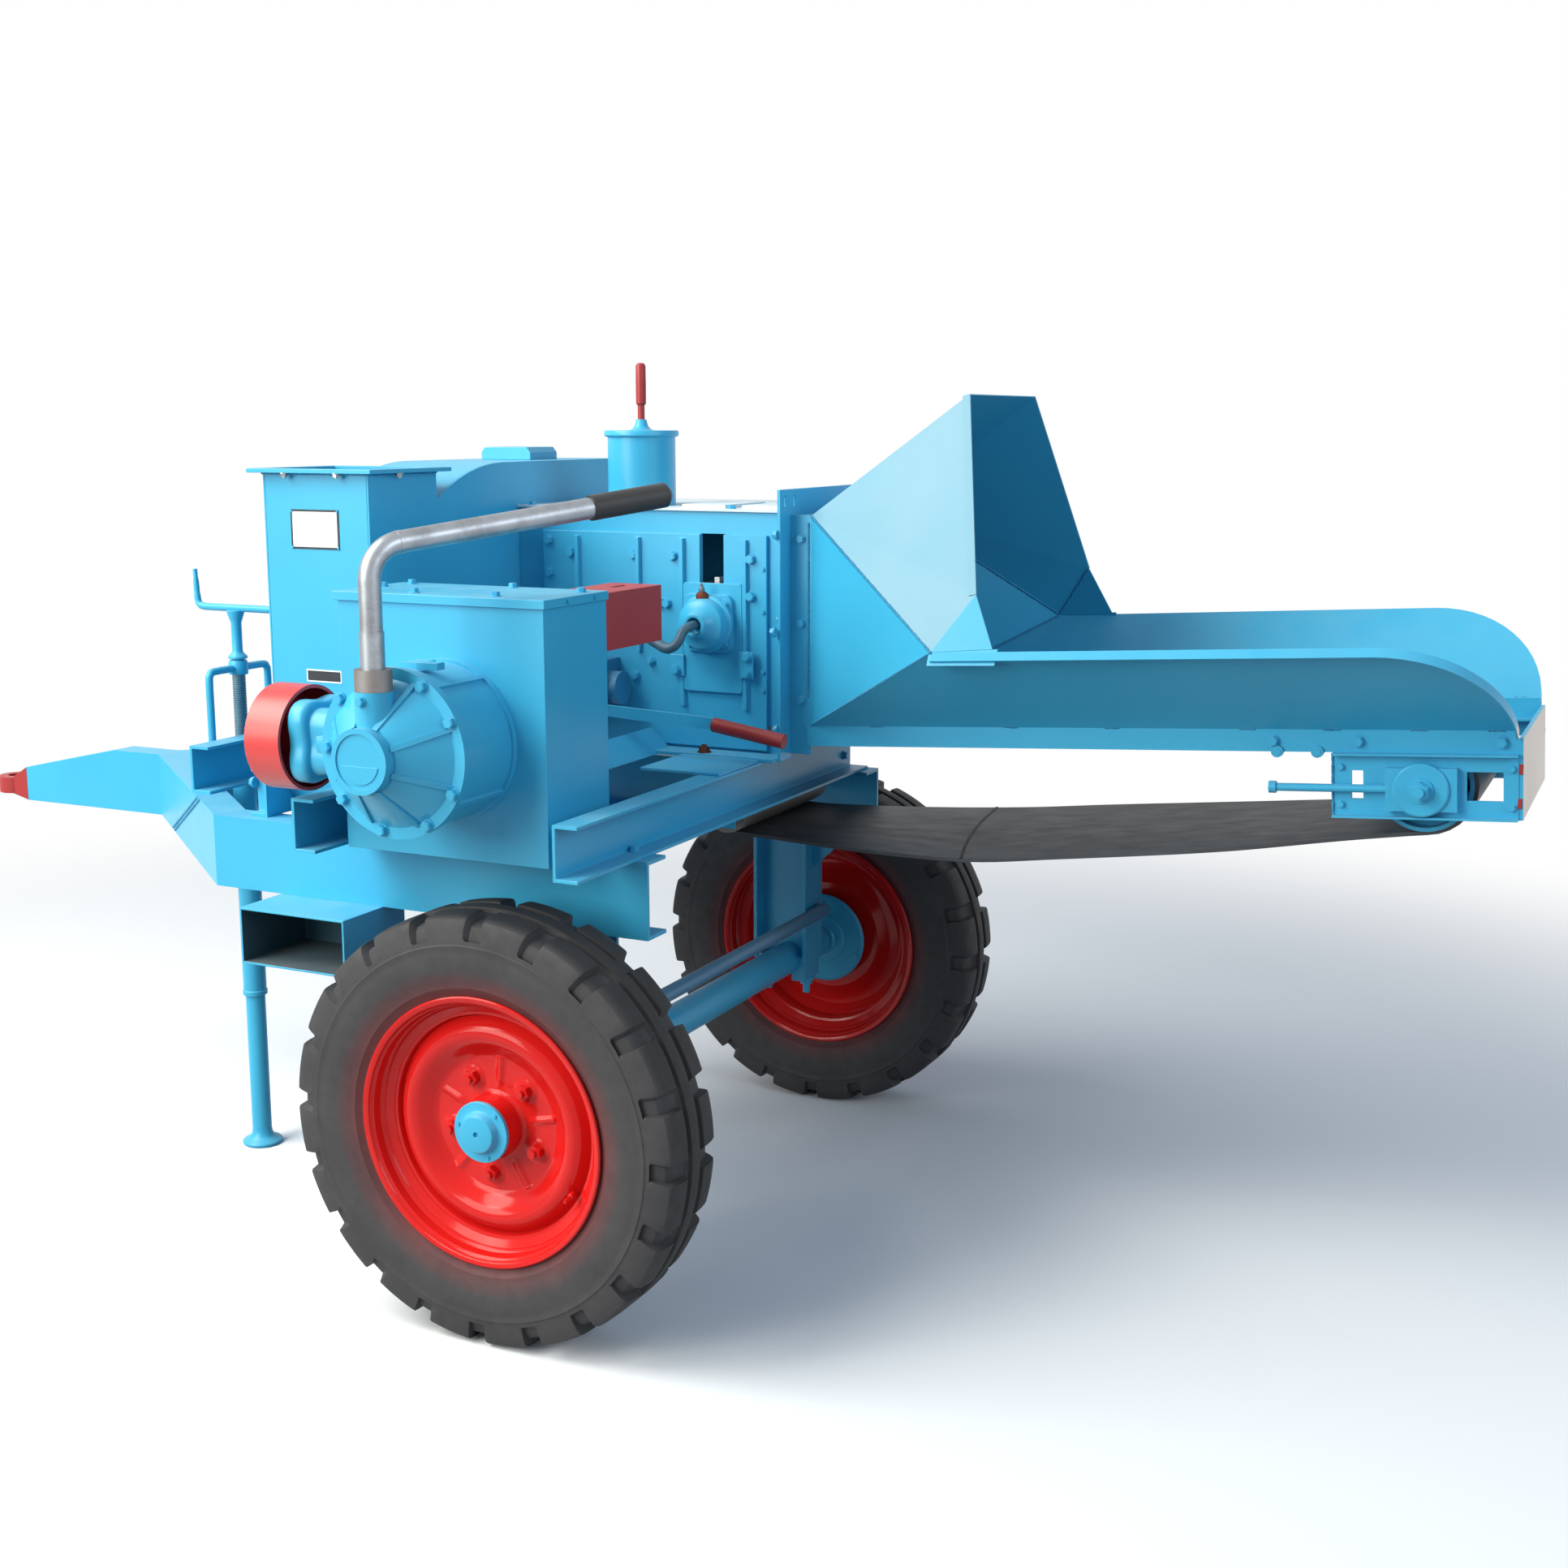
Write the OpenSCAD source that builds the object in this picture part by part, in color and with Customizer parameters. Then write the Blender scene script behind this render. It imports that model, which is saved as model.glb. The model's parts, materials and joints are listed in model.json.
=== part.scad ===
// Trailed chaff cutter with a belt feed table, feed rollers, a knife wheel and a tall chute.
// X runs along the trailer with the tow eye at -X, Y runs away from the drive side, Z is up.
// Sizes along and across are counted from the middle of the axle, heights from the ground.
// The finished part is then moved so that the origin is below the middle of its outer box.

/* [Wheels] */
// Outer radius of the tyres
wheel_r = 436; // [425:1:450]
// Width of a tyre
tyre_w = 190; // [184:1:200]
// Distance from the centre line to the middle of a wheel
half_track = 782; // [776:1:800]
// Radius of the rim flange
rim_r = 273; // [268:1:280]
// Width of the rim over its flanges
rim_w = 160; // [150:1:166]
// Number of tread lugs around one shoulder
lug_count = 20; // [16:1:24]
// Depth of the gaps between the lugs
lug_depth = 14; // [8:1:18]
// Radius of the stud circle
stud_circle_r = 102; // [96:1:110]
// Number of wheel studs
stud_count = 5; // [4:1:8]
// Turn of the first stud around the hub
stud_turn = 48; // [0:1:72]
// Radius of the hub barrel
hub_r = 60; // [56:1:66]

/* [Axle and brakes] */
// Radius of the axle tube
axle_r = 40; // [36:1:44]
// Radius of the stub axles
stub_r = 25; // [22:1:28]
// Radius of the brake back plates
backplate_r = 118; // [105:1:130]
// Radius of the brake cross shaft
brake_shaft_r = 18; // [14:1:20]
// Height of the brake cross shaft above the axle
brake_shaft_rise = 80; // [74:1:90]
// Distance of the brake cross shaft behind the axle
brake_shaft_x = 112; // [108:1:125]
// Length of an axle post along the trailer
post_l = 186; // [170:1:200]
// Width of an axle post
post_w = 100; // [90:1:104]

/* [Frame] */
// Height of the side rails
rail_h = 160; // [140:1:180]
// Flange width of the side rails
rail_flange = 75; // [65:1:85]
// Sheet thickness of the side rails
rail_t = 8; // [6:1:10]
// Height of the rail tops above the ground
rail_top = 938; // [930:1:960]
// Distance from the centre line to the outer face of a rail
rail_half = 583; // [575:1:590]
// Place along the trailer where the rails bend inwards
kink_x = -868; // [-900:1:-840]
// Place along the trailer where the bent rails meet the drawbar
nose_x = -1538; // [-1570:1:-1510]
// Rear end of the rails
rail_end_x = 225; // [215:1:240]
// Half the width of the drawbar
bar_half = 36; // [32:1:40]
// Front end of the drawbar
bar_tip_x = -2010; // [-2040:1:-1990]
// Place along the trailer where the drawbar starts to taper
bar_taper_x = -1690; // [-1730:1:-1650]
// Height of the drawbar at its front end
bar_tip_h = 90; // [80:1:100]
// Outer radius of the tow eye
eye_r = 46; // [42:1:52]
// Radius of the tow eye hole
eye_bore_r = 22; // [18:1:26]
// Height of the cross channels
channel_h = 110; // [104:1:116]
// Flange width of the cross channels
channel_flange = 55; // [48:1:60]
// Sheet thickness of the cross channels
channel_t = 7; // [5:1:9]
// Web place of the front cross channel
front_channel_x = -1090; // [-1110:1:-1080]
// Half length of the front cross channel
front_channel_half = 405; // [395:1:420]
// Web place of the middle cross channel
mid_channel_x = -462; // [-466:1:-456]
// Web place of the rear cross channel
rear_channel_x = 149; // [145:1:155]
// Near end of the middle and rear cross channels
channel_near_y = -807; // [-830:1:-790]
// Far end of the middle and rear cross channels
channel_far_y = 566; // [560:1:575]
// Width of the step box along the trailer
box_w = 272; // [250:1:290]
// Height of the step box
box_h = 122; // [110:1:130]
// Front face of the step box
box_x = -690; // [-710:1:-680]
// Near end of the step box
box_near_y = -716; // [-740:1:-700]
// Wall of the step box
box_t = 5; // [4:1:7]

/* [Jack] */
// Outer width of the jack leg
leg_w = 50; // [46:1:54]
// Clearance between the leg and its sleeve
leg_clear = 0.3; // [0.2:0.1:0.6]
// Wall of the leg and of the sleeve
leg_t = 5; // [4:1:6]
// Height of the sleeve's lower end
sleeve_low = 389; // [370:1:410]
// Place of the jack across the trailer
jack_y = -185; // [-200:1:-170]
// Radius of the lifting screw
screw_r = 14; // [12:1:16]
// Height of the top of the jack yoke
yoke_top = 1212; // [1200:1:1230]
// Half width of the jack yoke
yoke_half = 112; // [104:1:120]
// Length of one arm of the crank
crank_arm = 112; // [100:1:120]

/* [Drive] */
// Length of the drive case
case_l = 479; // [470:1:482]
// Depth of the drive case
case_d = 231; // [225:1:236]
// Height of the drive case
case_h = 503; // [490:1:515]
// Gap between the middle channel and the drive case
case_gap = 13; // [10:1:16]
// Back face of the drive case
case_back_y = -488; // [-492:1:-484]
// Sheet thickness of the drive case
case_t = 5; // [4:1:7]
// Height of the case lid rim
lid_h = 18; // [14:1:22]
// Radius of the bevel housing's front flange
bell_r = 163; // [158:1:168]
// Depth of the bevel housing in front of the case
bell_d = 178; // [172:1:186]
// Height of the bevel housing axis
bell_z = 1175; // [1170:1:1180]
// Place of the bevel housing axis along the trailer
bell_x = -141; // [-148:1:-136]
// Depth of the conical cover
cone_d = 78; // [74:1:84]
// Radius of the cover's round cap
cap_r = 62; // [58:1:66]
// Radius of the belt pulley
pulley_r = 105; // [98:1:110]
// Width of the belt pulley
pulley_w = 83; // [78:1:88]
// Rear edge of the belt pulley
pulley_x = -398; // [-404:1:-397]
// Radius of the input shaft
input_r = 20; // [18:1:22]
// Radius of the clutch lever tube
lever_r = 21; // [18:1:23]
// Height of the bend in the clutch lever
lever_bend_z = 1500; // [1495:1:1520]
// Length of the clutch lever's arm
lever_arm = 590; // [560:1:610]
// Length of the clutch lever's grip
grip_l = 175; // [150:1:190]

/* [Feed housing] */
// Near face of the feed housing
wall_y = 40; // [38:1:44]
// Width of the feed housing
feed_w = 480; // [472:1:484]
// Sheet thickness of the feed housing walls
wall_t = 6; // [5:1:8]
// Height of the feed housing's top
feed_top = 1590; // [1585:1:1595]
// Rear face of the feed housing
feed_rear_x = 240; // [236:1:244]
// Thickness of the bolted side panel
panel_t = 10; // [8:1:12]
// Height of the upper feed roller's axis at its lowest
upper_z = 1345; // [1343:1:1350]
// Place of the feed rollers along the trailer
roller_x = 50; // [48:1:52]
// Radius of the upper feed roller
upper_r = 100; // [95:1:104]
// Height of the lower feed roller's axis
lower_z = 1140; // [1138:1:1144]
// Radius of the lower feed roller
lower_r = 80; // [74:1:82]
// Radius of the roller shafts
roller_shaft_r = 22; // [20:1:24]
// Height that the upper feed roller can rise
roller_lift = 95; // [60:1:98]
// Place of the press rollers along the trailer
press_x = -330; // [-335:1:-325]
// Radius of the press rollers
press_r = 78; // [72:1:82]
// Radius of the spring pot
pot_r = 92; // [86:1:96]
// Height of the spring pot
pot_h = 156; // [148:1:164]

/* [Cutting wheel and chute] */
// Place of the cutting wheel's axis across the trailer
cut_y = -15; // [-18:1:-13]
// Height of the cutting wheel's axis
cut_z = 1190; // [1186:1:1194]
// Radius of the wheel casing
casing_r = 505; // [500:1:508]
// Width of the wheel casing along the trailer
casing_w = 276; // [268:1:284]
// Sheet thickness of the wheel casing
casing_t = 5; // [4:1:6]
// Gap between the wheel's rim and the casing
cut_gap = 18; // [12:1:24]
// Radius of the cutting wheel's shaft
cut_shaft_r = 25; // [22:1:27]
// Number of knives, and of paddles, on the wheel
knife_count = 4; // [3:1:6]
// Width of the chute across the trailer
chute_d = 240; // [230:1:250]
// Height of the chute's top
chute_top = 1680; // [1672:1:1688]
// Overhang of the chute's top flange
flange_out = 24; // [20:1:28]
// Length of the angle drive's housing
angle_l = 130; // [120:1:136]

/* [Feed table] */
// Rise of the table in degrees
table_slope = 3.5; // [3:0.1:4]
// Length of the table
table_l = 1480; // [1450:1:1500]
// Height of the table's bottom edge at its lower end
table_z = 1080; // [1078:1:1084]
// Height of the strip below the table's walls
strip_h = 45; // [42:1:50]
// Slanted height of the table's walls
side_h = 260; // [250:1:266]
// Lean of the table's walls from upright in degrees
side_lean = 46.7; // [44:0.1:48]
// Sheet thickness of the table and the hopper
sheet_t = 3; // [2:0.5:4]
// Width of the lip along the table's walls
lip_w = 22; // [16:1:26]
// Length of the rounded end of the table's walls
side_round = 235; // [210:1:260]
// Width of the belt
belt_w = 400; // [385:1:405]
// Thickness of the belt
belt_t = 8; // [6:1:9]
// Sag of the belt's lower run
belt_sag = 45; // [20:1:60]
// Radius of the tail roller
tail_r = 92; // [86:1:94]
// Radius of the nose roller
nose_r = 40; // [36:1:42]
// Radius of the belt drive roller
drive_r = 50; // [46:1:52]
// Distance of the tail roller's axis from the table's end
tail_in = 175; // [168:1:185]
// Drop of the tail roller's axis below the table's bottom edge
tail_drop = 69; // [67:1:72]
// Height of the tail brackets
bracket_h = 127; // [122:1:132]
// Length of the tail brackets
bracket_l = 343; // [335:1:350]
// Height of the hopper's mouth above the ground
mouth_z = 1842; // [1800:1:1860]

/* [Hidden] */

$fn = 64;
home = [178, 61, 0];
blue = "#39a9dc";
dark_blue = "#2b7fae";
red = "#cf2f27";
steel = "#9a9ca0";
rubber = "#2c2c2e";

// Radial gap of a shaft in its bearing
fit = 0.05;
// Gap between parts that slide or pass each other
slip = 0.3;
rail_low = rail_top - rail_h;
channel_top = rail_top + channel_h;
kink_a = atan2(rail_half - bar_half, kink_x - nose_x);
far_wall_y = wall_y + feed_w;
mid_y = wall_y + feed_w / 2;
casing_rear_x = mid_channel_x;
case_rear_x = mid_channel_x + channel_flange + case_gap + case_l;
casing_front_x = casing_rear_x - casing_w;
cut_r = casing_r - casing_t - cut_gap;
chute_near_y = cut_y - casing_r;
roof_z = cut_z + casing_r;
case_front_y = case_back_y - case_d;
case_z = rail_top + 12;
case_top = case_z + case_h;
bell_front_y = case_front_y - bell_d;
input_y = case_front_y - bell_d / 2;
cap_y = bell_front_y - cone_d;
lever_y = cap_y + 30;
lever_z = bell_z + 125;
lever_turn = 63;
lever_rise = 7;
jack_x = front_channel_x - leg_w / 2 - leg_t - leg_clear - 5;
hub_out = 62;
shaft_wall_gap = 10;

// One point of the table's own frame, s along the table and w square to it, as X and Z
function table_xz(s, w) = [
  table_x + s * cos(table_slope) - w * sin(table_slope),
  table_z + s * sin(table_slope) + w * cos(table_slope)
];
table_x = feed_rear_x + 43;
tail_s = table_l - tail_in;
tail_xz = table_xz(tail_s, -tail_drop);
nose_xz = [rear_channel_x + 36, channel_top + nose_r + belt_t + 6];
drive_xz = [rear_channel_x - 79, rail_top - 28];

// Move from the axle's frame to the middle of the outer box
module at_home() {
  translate(home)
    children();
}

module table_frame() {
  translate([table_x, 0, table_z])
    rotate([0, -table_slope, 0])
      children();
}

module mirror_mid() {
  children();
  translate([0, 2 * mid_y, 0])
    mirror([0, 1, 0])
      children();
}

// Solid round bar along Y
module bar_y(r, y0, y1) {
  translate([0, y0, 0])
    rotate([-90, 0, 0])
      cylinder(r = r, h = y1 - y0);
}

// Solid round bar along X
module bar_x(r, x0, x1) {
  translate([x0, 0, 0])
    rotate([0, 90, 0])
      cylinder(r = r, h = x1 - x0);
}

// Outline in X and Z given a depth along Y from y0
module slab_y(y0, t) {
  translate([0, y0 + t, 0])
    rotate([90, 0, 0])
      linear_extrude(t)
        children();
}

// Outline in Y and Z given a depth along X from x0
module slab_x(x0, t) {
  translate([x0, 0, 0])
    rotate([90, 0, 90])
      linear_extrude(t)
        children();
}

// Rails and drawbar

// Plan of one rail from its outer face to a given depth
module rail_plan(d) {
  polygon([
    [rail_end_x, -rail_half],
    [kink_x, -rail_half],
    [nose_x, -bar_half],
    [nose_x + d / sin(kink_a), -bar_half],
    [kink_x + d * tan(kink_a / 2), -rail_half + d],
    [rail_end_x, -rail_half + d]
  ]);
}

module rail() {
  translate([0, 0, rail_low]) {
    linear_extrude(rail_h) rail_plan(rail_t);
    linear_extrude(rail_t) rail_plan(rail_flange);
    translate([0, 0, rail_h - rail_t]) linear_extrude(rail_t) rail_plan(rail_flange);
  }
}

module near_rail() {
  color(blue) rail();
}

module far_rail() {
  color(blue)
    difference() {
      mirror([0, 1, 0]) rail();
      translate([drive_xz[0] - 33, far_wall_y - 20, rail_top - rail_t - 1]) cube([66, 22, rail_t + 2]);
    }
}

// Side view of the drawbar, drawn in by a wall thickness
module drawbar_side(d) {
  polygon([
    [bar_tip_x, rail_low + d],
    [nose_x + rail_flange / sin(kink_a), rail_low + d],
    [nose_x + rail_flange / sin(kink_a), rail_top - d],
    [bar_taper_x, rail_top - d],
    [bar_tip_x, rail_low + bar_tip_h - d]
  ]);
}

module drawbar() {
  color(blue)
    difference() {
      slab_y(-bar_half, 2 * bar_half) drawbar_side(0);
      slab_y(-bar_half + rail_t, 2 * (bar_half - rail_t)) drawbar_side(rail_t);
    }
}

eye_x = bar_tip_x - 75;
eye_z = rail_low + 36;
eye_t = 44;

module tow_eye() {
  color(red)
    difference() {
      union() {
        slab_y(-bar_half, 2 * bar_half)
          polygon([
            [bar_tip_x, rail_low],
            [bar_tip_x, rail_low + bar_tip_h],
            [eye_x + eye_r * 0.5, eye_z + eye_t / 2],
            [eye_x + eye_r * 0.5, eye_z - eye_t / 2]
          ]);
        translate([eye_x, 0, eye_z - eye_t / 2]) cylinder(r = eye_r, h = eye_t);
        translate([bar_tip_x, rail_t - bar_half, rail_low + rail_t])
          cube([60, 2 * (bar_half - rail_t), 60]);
      }
      translate([eye_x, 0, eye_z - eye_t]) cylinder(r = eye_bore_r, h = 2 * eye_t);
    }
}

// Cross members

module channel(x, y0, y1) {
  translate([x, y0, rail_top]) {
    cube([channel_t, y1 - y0, channel_h]);
    cube([channel_flange, y1 - y0, channel_t]);
    translate([0, 0, channel_h - channel_t]) cube([channel_flange, y1 - y0, channel_t]);
  }
}

module front_cross_channel() {
  color(blue) channel(front_channel_x, -front_channel_half, front_channel_half);
}

module mid_cross_channel() {
  color(blue) channel(mid_channel_x, channel_near_y, channel_far_y);
}

module rear_cross_channel() {
  color(blue) channel(rear_channel_x, channel_near_y, channel_far_y);
}

module step_box() {
  box_l = rail_flange - rail_half - box_near_y;
  color(blue)
    translate([box_x, box_near_y, rail_low - box_h])
      difference() {
        cube([box_w, box_l, box_h]);
        translate([box_t, -1, box_t]) cube([box_w - 2 * box_t, box_l - box_t + 1, box_h - 2 * box_t]);
      }
}

// Angle bracket between a rail and the front wall of the wheel casing
module casing_bracket() {
  foot_y = -rail_half + 25;
  color(blue) {
    translate([casing_front_x - 46, foot_y, rail_top]) cube([46, 50, 8]);
    translate([casing_front_x - 5, foot_y, rail_top]) cube([5, 130, 104]);
    translate([casing_front_x - 46, foot_y + 26, rail_top]) cube([46, 5, 104]);
    translate([casing_front_x - 46, foot_y + 6, rail_top + 98]) cube([46, 46, 6]);
  }
}

module casing_brackets() {
  casing_bracket();
  mirror([0, 1, 0]) casing_bracket();
}

// Axle and brakes

post_y = rail_half - rail_flange / 2;
post_t = 10;
saddle_h = 30;

module axle_post() {
  translate([0, post_y, 0]) {
    difference() {
      union() {
        for (side = [-1, 1])
          translate([side * (post_l - post_t) / 2 - post_t / 2, -post_w / 2, wheel_r])
            cube([post_t, post_w, rail_low - wheel_r]);
        translate([-post_l / 2, -post_t / 2, wheel_r]) cube([post_l, post_t, rail_low - wheel_r]);
        translate([-post_l / 2, -post_w / 2, wheel_r]) cube([post_l, post_w, axle_r + 12]);
        translate([-post_l / 2, -post_w / 2, wheel_r - axle_r - saddle_h])
          cube([post_l, post_w, axle_r + saddle_h]);
        slab_y(-post_t / 2, post_t)
          polygon([
            [post_l / 2, rail_low - 100],
            [post_l / 2 + 50, rail_low - 40],
            [post_l / 2 + 50, rail_low],
            [post_l / 2, rail_low]
          ]);
        for (sx = [-1, 1])
          translate([sx * (axle_r + 22), 0, wheel_r - axle_r - saddle_h - 42])
            cylinder(r = 10, h = 44);
      }
      translate([0, 0, wheel_r]) bar_y(axle_r, -post_w, post_w);
    }
  }
}

module axle_posts() {
  color(blue) {
    axle_post();
    mirror([0, 1, 0]) axle_post();
  }
}

shoulder_r = stub_r + 6;
backplate_y = half_track - 38;
stub_end_y = half_track + hub_out - 4;

module axle_beam() {
  color(dark_blue)
    translate([0, 0, wheel_r]) {
      bar_y(axle_r, -backplate_y + 40, backplate_y - 40);
      bar_y(shoulder_r, -half_track + 24, half_track - 24);
      bar_y(stub_r, -stub_end_y, stub_end_y);
    }
}

module brake_shaft() {
  color(dark_blue)
    translate([brake_shaft_x, 0, wheel_r + brake_shaft_rise]) {
      bar_y(brake_shaft_r, -backplate_y, backplate_y);
      for (side = [-1, 1])
        translate([-9, side * 250 - 6, -5]) cube([18, 12, 84]);
    }
}

module backplate() {
  translate([0, backplate_y, wheel_r])
    difference() {
      union() {
        bar_y(backplate_r, 0, 8);
        bar_y(axle_r + 16, -40, 0);
        translate([brake_shaft_x, 0, brake_shaft_rise]) bar_y(brake_shaft_r + 8, 0, 8);
      }
      bar_y(shoulder_r, -60, 20);
    }
}

module brake_backplates() {
  color(blue) {
    backplate();
    mirror([0, 1, 0]) backplate();
  }
}

// Wheels, drawn with the outer side towards +Z and turned into place

module place_wheel(side) {
  translate([0, side * half_track, wheel_r])
    rotate([-90 * side, 0, 0])
      children();
}

rim_t = 9;
seat_r = rim_r - 19;
well_r = rim_r - 42;
well_w = rim_w - 96;

module rim_section() {
  polygon([
    [rim_r, rim_w / 2], [rim_r, rim_w / 2 - 8], [seat_r + 4, rim_w / 2 - 10], [seat_r, rim_w / 2 - 32],
    [well_r, well_w / 2], [well_r, -well_w / 2], [seat_r, 32 - rim_w / 2], [seat_r + 4, 10 - rim_w / 2],
    [rim_r, 8 - rim_w / 2], [rim_r, -rim_w / 2], [seat_r - rim_t + 4, 2 - rim_w / 2],
    [seat_r - rim_t, 30 - rim_w / 2], [well_r - rim_t, 2 - well_w / 2], [well_r - rim_t, well_w / 2 - 2],
    [seat_r - rim_t, rim_w / 2 - 30], [seat_r - rim_t + 4, rim_w / 2 - 2]
  ]);
}

// Dished disc from the hub to the well of the rim
module disc_section() {
  polygon([
    [hub_r - 4, 12], [stud_circle_r + 36, 12], [stud_circle_r + 60, 30], [stud_circle_r + 78, 42],
    [stud_circle_r + 98, 42], [well_r - rim_t - 6, 24], [well_r - 3, 16], [well_r - 3, 4],
    [well_r - rim_t - 10, 14], [stud_circle_r + 96, 33], [stud_circle_r + 82, 33],
    [stud_circle_r + 64, 22], [stud_circle_r + 40, 3], [hub_r - 4, 3]
  ]);
}

module rim() {
  difference() {
    union() {
      rotate_extrude() rim_section();
      rotate_extrude() disc_section();
      translate([0, 0, -20]) cylinder(r = hub_r, h = hub_out + 20);
      for (i = [0 : stud_count - 1])
        rotate([0, 0, stud_turn + (i + 0.5) * 360 / stud_count])
          translate([hub_r - 6, -7, 10]) cube([stud_circle_r - hub_r + 26, 14, 12]);
    }
    translate([0, 0, -30]) cylinder(r = stub_r + fit, h = hub_out + 60);
  }
}

module near_rim() {
  color(red) place_wheel(-1) rim();
}

module far_rim() {
  color(red) place_wheel(1) rim();
}

module hub_cap() {
  difference() {
    union() {
      translate([0, 0, hub_out]) cylinder(r = hub_r + 1, h = 8);
      translate([0, 0, hub_out + 8]) cylinder(r1 = hub_r - 17, r2 = hub_r - 22, h = 16);
    }
    translate([0, 0, hub_out + 18]) cylinder(r = 6, h = 10);
  }
}

module near_hub_cap() {
  color(blue) place_wheel(-1) hub_cap();
}

module far_hub_cap() {
  color(blue) place_wheel(1) hub_cap();
}

module wheel_nuts() {
  for (i = [0 : stud_count - 1])
    rotate([0, 0, stud_turn + i * 360 / stud_count])
      translate([stud_circle_r, 0, 12]) {
        cylinder(r = 16, h = 18, $fn = 6);
        cylinder(r = 8, h = 26);
      }
}

module near_wheel_nuts() {
  color(red) place_wheel(-1) wheel_nuts();
}

module far_wheel_nuts() {
  color(red) place_wheel(1) wheel_nuts();
}

// Tyre section, one side, as [offset from the middle, radius, sunk between lugs]
tyre_half = [
  [rim_w / 2 - 22, seat_r + 2.4, 0],
  [rim_w / 2 - 11, seat_r + 6.5, 0],
  [rim_w / 2 - 9.5, rim_r + 2, 0],
  [tyre_w / 2 - 6, rim_r + 34, 0],
  [tyre_w / 2, wheel_r - 84, 0],
  [tyre_w / 2 - 2, wheel_r - 40, 0.7],
  [tyre_w / 2 - 11, wheel_r - 8, 1],
  [46, wheel_r - 1, 0.6],
  [32, wheel_r, 0],
  [28, wheel_r - 10, 0],
  [18, wheel_r - 10, 0],
  [14, wheel_r, 0]
];
tyre_n = len(tyre_half);
tyre_section = concat(tyre_half, [for (i = [tyre_n - 1 : -1 : 0]) [-tyre_half[i][0], tyre_half[i][1], tyre_half[i][2]]]);

// Each lug has a rising side, a top, a falling side and the gap after it
lug_steps = [0, 0.06, 0.28, 0.49, 0.70, 0.78];
lug_sunk = [1, 0, 0, 0, 0, 1];

function tyre_ring(lug, step) = [
  for (p = tyre_section)
    let (r = p[1] - p[2] * lug_sunk[step] * lug_depth)
    let (u = p[0] - sign(p[0]) * p[2] * lug_sunk[step] * lug_depth * 0.5)
    let (a = (lug + lug_steps[step]) * 360 / lug_count)
    [r * cos(a), r * sin(a), u]
];

module tyre() {
  rings = [for (lug = [0 : lug_count - 1], step = [0 : len(lug_steps) - 1]) tyre_ring(lug, step)];
  m = len(tyre_section);
  n = len(rings);
  points = [for (ring = rings, p = ring) p];
  faces = [
    for (i = [0 : n - 1], j = [0 : m - 1])
      let (a = i * m + j, b = i * m + (j + 1) % m)
      let (c = ((i + 1) % n) * m + (j + 1) % m, d = ((i + 1) % n) * m + j)
      each [[a, b, c], [a, c, d]]
  ];
  polyhedron(points = points, faces = faces);
}

module near_tyre() {
  color(rubber) place_wheel(-1) tyre();
}

module far_tyre() {
  color(rubber) place_wheel(1) tyre();
}

// Jack

sleeve_w = leg_w + 2 * leg_clear + 2 * leg_t;
sleeve_top = channel_top - 48;
leg_top = 860;
yoke_t = 22;

module square_tube(w, t, h) {
  difference() {
    translate([-w / 2, -w / 2, 0]) cube([w, w, h]);
    translate([t - w / 2, t - w / 2, -1]) cube([w - 2 * t, w - 2 * t, h + 2]);
  }
}

module jack_sleeve() {
  plate_x = front_channel_x - 6;
  color(blue)
    difference() {
      union() {
        translate([jack_x, jack_y, sleeve_low]) square_tube(sleeve_w, leg_t, sleeve_top - sleeve_low);
        translate([plate_x, jack_y - yoke_half, rail_top + 4])
          cube([6, 2 * yoke_half, channel_h - 6]);
        for (side = [-1, 1])
          translate([0, jack_y + side * (yoke_half - yoke_t / 2) - yoke_t / 2, 0]) {
            translate([jack_x - yoke_t / 2, 0, channel_top - 60])
              cube([yoke_t, yoke_t, yoke_top - channel_top + 60]);
            translate([jack_x, 0, channel_top - 60]) cube([plate_x - jack_x + 2, yoke_t, 40]);
          }
        translate([jack_x - yoke_t / 2, jack_y - yoke_half, yoke_top - yoke_t])
          cube([yoke_t, 2 * yoke_half, yoke_t]);
        translate([jack_x, jack_y, yoke_top - yoke_t]) cylinder(r = screw_r + 10, h = yoke_t + 10);
      }
      translate([jack_x, jack_y, yoke_top - 2 * yoke_t]) cylinder(r = screw_r + fit, h = 4 * yoke_t);
    }
}

module jack_leg() {
  color(blue)
    translate([jack_x, jack_y, 0]) {
      translate([0, 0, 10]) square_tube(leg_w, leg_t, leg_top - 30);
      difference() {
        translate([-leg_w / 2, -leg_w / 2, leg_top - 20]) cube([leg_w, leg_w, 20]);
        translate([0, 0, leg_top - 40]) cylinder(r = screw_r + fit, h = 60);
      }
      cylinder(r = 60, h = 8);
      translate([0, 0, 8]) cylinder(r1 = 56, r2 = 36, h = 12);
    }
}

crank_z = yoke_top + 130;

module jack_crank() {
  color(blue)
    translate([jack_x, jack_y, 0]) {
      translate([0, 0, leg_top - 200]) cylinder(r = screw_r, h = crank_z - leg_top + 205);
      translate([0, 0, yoke_top + 10 + slip]) cylinder(r = screw_r + 8, h = 14);
      translate([0, 0, crank_z - 22]) cylinder(r1 = screw_r, r2 = screw_r + 8, h = 22);
      translate([0, 0, crank_z + 5]) bar_x(9, -crank_arm, crank_arm);
      translate([-crank_arm, 0, crank_z + 5]) sphere(r = 9);
      translate([-crank_arm, 0, crank_z + 5]) cylinder(r = 9, h = 90);
    }
}

// Drive case, bevel housing and clutch lever

cross_x = -255;
cross_r = 20;

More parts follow.
